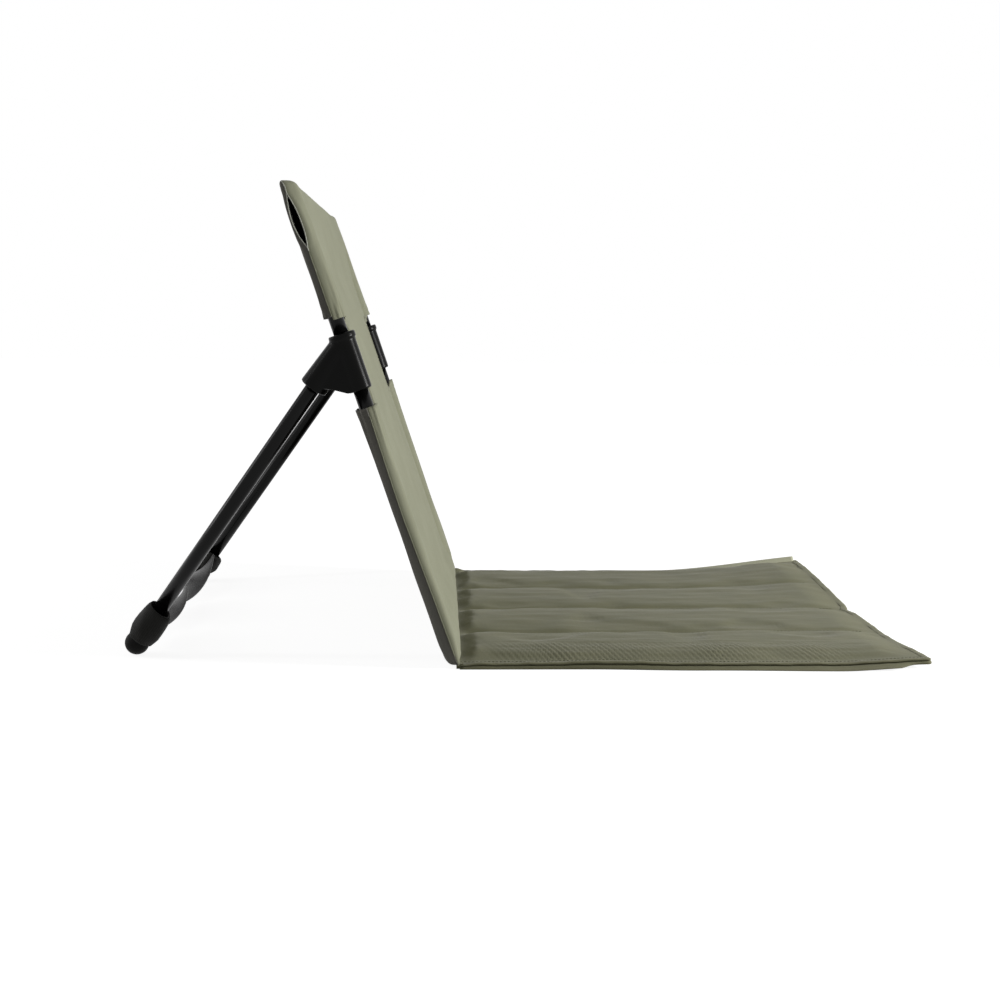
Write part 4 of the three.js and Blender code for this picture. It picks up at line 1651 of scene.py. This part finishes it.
    def web(self) -> Shape:
        """The plate between the connector's sleeve and its socket.

        Returns:
            Points and faces.
        """
        sin, cos = math.sin(self.slant), math.cos(self.slant)
        end, thick = self.socket_reach * 0.85, 8.5
        outline = [(0, 2), (-end * sin - 4 * cos, -end * cos + 4 * sin),
                   (-end * sin + self.socket_root * cos, -end * cos - self.socket_root * sin),
                   (-19, -32.4), (-9, -38.6), (0, -39.0)]
        points = [(x, y, z) for y in (-thick, thick) for x, z in outline]
        return np.array(points), ring_faces(2, len(outline))

    @staticmethod
    def add_solid(
        shape: bmesh.types.BMesh, points: np.ndarray, faces: list[list[int]], turn: Matrix
    ) -> None:
        """Adds a closed solid to a mesh in the making, in metres.

        Args:
            shape: The mesh in the making.
            points: The solid's points, in millimetres.
            faces: Lists of point numbers.
            turn: How the solid is turned.
        """
        corners = [shape.verts.new((turn @ Vector(p)) * MM) for p in points]
        made = [shape.faces.new([corners[k] for k in face]) for face in faces]
        bmesh.ops.recalc_face_normals(shape, faces=made)


@dataclass
class FootStrap(SubAssembly):
    """The flat webbing strap between the feet, which hangs twisted, in two halves."""

    legs: dict[Side, Leg]
    width: float = 22.0
    gauge: float = 1.6
    sag: float = 6.0
    half_turns: int = -2
    drift: float = 3.2
    cup: float = 1.1
    rounding: float = 0.35
    tail: float = 15.6
    steps: int = 150

    def ends(self) -> dict[Side, Vector]:
        """Finds where the strap is sewn to the tail of each webbing loop.

        Returns:
            The middle of the strap at each foot, in millimetres.
        """
        ends = {}
        for side, leg in self.legs.items():
            pulled = 0.4 + 0.6 * leg.cuff_share
            height = leg.loop_start + (leg.strap_height - leg.loop_start) * pulled
            middle = Vector((0, -side.value * self.tail, -leg.reach + height))
            ends[side] = leg.shaft @ middle
        return ends

    def build(self) -> None:
        """Makes both halves; each rides on its leg."""
        ends = self.ends()
        left, right = ends[Side.LEFT], ends[Side.RIGHT]
        tangent = (left - right).normalized()
        half, deep = self.width / 2, self.gauge / 2
        bulge = half + self.rounding
        section = [(w, deep) for w in np.linspace(-half, half, 9)] + [(bulge, 0.0)]
        section += [(w, -deep) for w in np.linspace(half, -half, 9)] + [(-bulge, 0.0)]
        rings, threads = [], []
        for step in range(self.steps + 1):
            share = step / self.steps
            middle = right.lerp(left, share)
            middle.z -= self.sag * math.sin(math.pi * share)
            middle.x -= self.drift * math.sin(math.pi * share)
            along = [self.legs[side].along for side in (Side.RIGHT, Side.LEFT)]
            broad = along[0].lerp(along[1], share).normalized()
            turn = self.half_turns * math.pi * (0.7 * share + 0.3 * float(smooth(share)))
            slope = broad.dot(tangent)
            broad = Matrix.Rotation(turn, 3, tangent) @ (broad - tangent * slope)
            thin = tangent.cross(broad).normalized()
            broad = broad + tangent * slope * math.cos(turn)
            ring, thread = [], []
            for wide, thick in section:
                cup = self.cup * math.sin(turn) * (1 - (wide / half) ** 2)
                ring.append(tuple(middle + broad * wide + thin * (thick + cup)))
                thread.append((share * (left - right).length, wide))
            rings.append(ring)
            threads.append(thread)
        half_way = self.steps // 2
        for side, low, high in ((Side.RIGHT, 0, half_way), (Side.LEFT, half_way, self.steps)):
            points = np.array(rings[low:high + 1]).reshape(-1, 3)
            thread = np.array(threads[low:high + 1]).reshape(-1, 2)
            faces = ring_faces(high - low + 1, len(section))
            piece = make_piece(f"{side.word}_strap_half", points, faces, thread)
            dress(piece, self.finishes.strap)
            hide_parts("foot_strap")
            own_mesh(piece)
            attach(piece, f"{side.word}_leg")


@dataclass
class Studio:
    """The camera at the photograph's viewpoint, the white sweep, three soft lamps and the air."""

    camera_place: tuple[float, float, float] = (-0.0139, -1.246, 0.2862)
    pitch: float = 0.1411
    yaw: float = -0.0485
    roll: float = 0.0116
    focal_pixels: float = 1340.0
    frame_pixels: float = 1000.0
    sensor: float = 36.0
    floor_reach: float = 6000.0
    floor_drop: float = 0.4
    air_light: float = 0.13

    def camera(self) -> None:
        """Makes the camera at the photograph's viewpoint."""
        data = bpy.data.cameras.new("view")
        data.sensor_width = self.sensor
        data.lens = self.focal_pixels / self.frame_pixels * self.sensor
        data.clip_start, data.clip_end = 0.05, 50
        camera = link(data, "view")
        level = Vector((-math.sin(self.yaw), math.cos(self.yaw), 0))
        side = Vector((math.cos(self.yaw), math.sin(self.yaw), 0))
        ahead = level * math.cos(self.pitch) + Vector((0, 0, -math.sin(self.pitch)))
        right = side * math.cos(self.roll) + side.cross(ahead) * math.sin(self.roll)
        above = right.cross(ahead)
        turn = Matrix((right, above, -ahead)).transposed()
        camera.matrix_world = Matrix.Translation(self.camera_place) @ turn.to_4x4()
        bpy.context.scene.camera = camera

    def lamp(
        self, name: str, place: tuple[float, float, float], aim: tuple[float, float, float],
        size: tuple[float, float], power: float,
    ) -> None:
        """Makes a rectangular soft lamp that points at a place.

        Args:
            name: The lamp's name.
            place: Where it stands, in metres.
            aim: The place that it points at.
            size: Its width and height.
            power: Its power in watts.
        """
        data = bpy.data.lights.new(name, "AREA")
        data.shape = "RECTANGLE"
        data.size, data.size_y = size
        data.energy = power
        lamp = link(data, name)
        lamp.location = place
        lamp.rotation_mode = "QUATERNION"
        lamp.rotation_quaternion = (Vector(aim) - Vector(place)).to_track_quat("-Z", "Y")

    def sweep_floor(self) -> None:
        """Makes the paper floor, under the chair and far round it."""
        far = self.floor_reach
        points = np.array([(-far, -far, 0), (far, -far, 0), (far, far, 0), (-far, far, 0)])
        floor = make_piece("studio_floor", points, [[0, 1, 2, 3]])
        floor.data.materials.append(StudioPaper().build())
        floor.location.z = -self.floor_drop * MM

    def world(self) -> None:
        """Lights the air evenly; the camera and reflections see it as white."""
        world = bpy.data.worlds.new("studio_air")
        bpy.context.scene.world = world
        world.use_nodes = True
        tree = world.node_tree
        tree.nodes.clear()
        strength = add_node(
            tree, "MapRange", {"Value": seen_rays(tree), "To Min": self.air_light, "To Max": 1.0},
        )
        air = add_node(tree, "Background", {"Color": (1, 1, 1, 1), "Strength": strength})
        add_node(tree, "OutputWorld", {"Surface": air})

    def build(self) -> None:
        """Sets up the view, the floor, the lamps and the air."""
        self.camera()
        self.sweep_floor()
        self.lamp("key", (1.65, -0.35, 0.55), (-0.05, 0, 0.18), (0.32, 0.32), 31)
        self.lamp("rear_fill", (-1.7, 0.1, 0.5), (-0.1, 0, 0.2), (0.6, 0.6), 4.5)
        self.lamp("strip", (-1.4, -0.25, 1.3), (-0.12, -0.15, 0.2), (0.1, 1.0), 2.5)
        self.world()
        bpy.context.scene.view_settings.view_transform = "Standard"


def main() -> None:
    """Builds the studio and the chair, piece by piece."""
    logging.basicConfig(level=logging.INFO, format="%(message)s")
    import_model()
    Studio().build()
    finishes, plane = Finishes(), BackPlane()
    legs = {side: Leg(finishes, side, plane) for side in Side}
    for part in (
        TubeFrame(finishes, plane), BackCover(finishes, plane), SeatPad(finishes), *legs.values(),
        FootStrap(finishes, legs),
    ):
        known = set(bpy.data.objects.keys())
        part.build()
        for name in sorted(set(bpy.data.objects.keys()) - known):
            LOG.info("built %s of the %s", name, type(part).__name__)


if __name__ == "__main__":
    main()
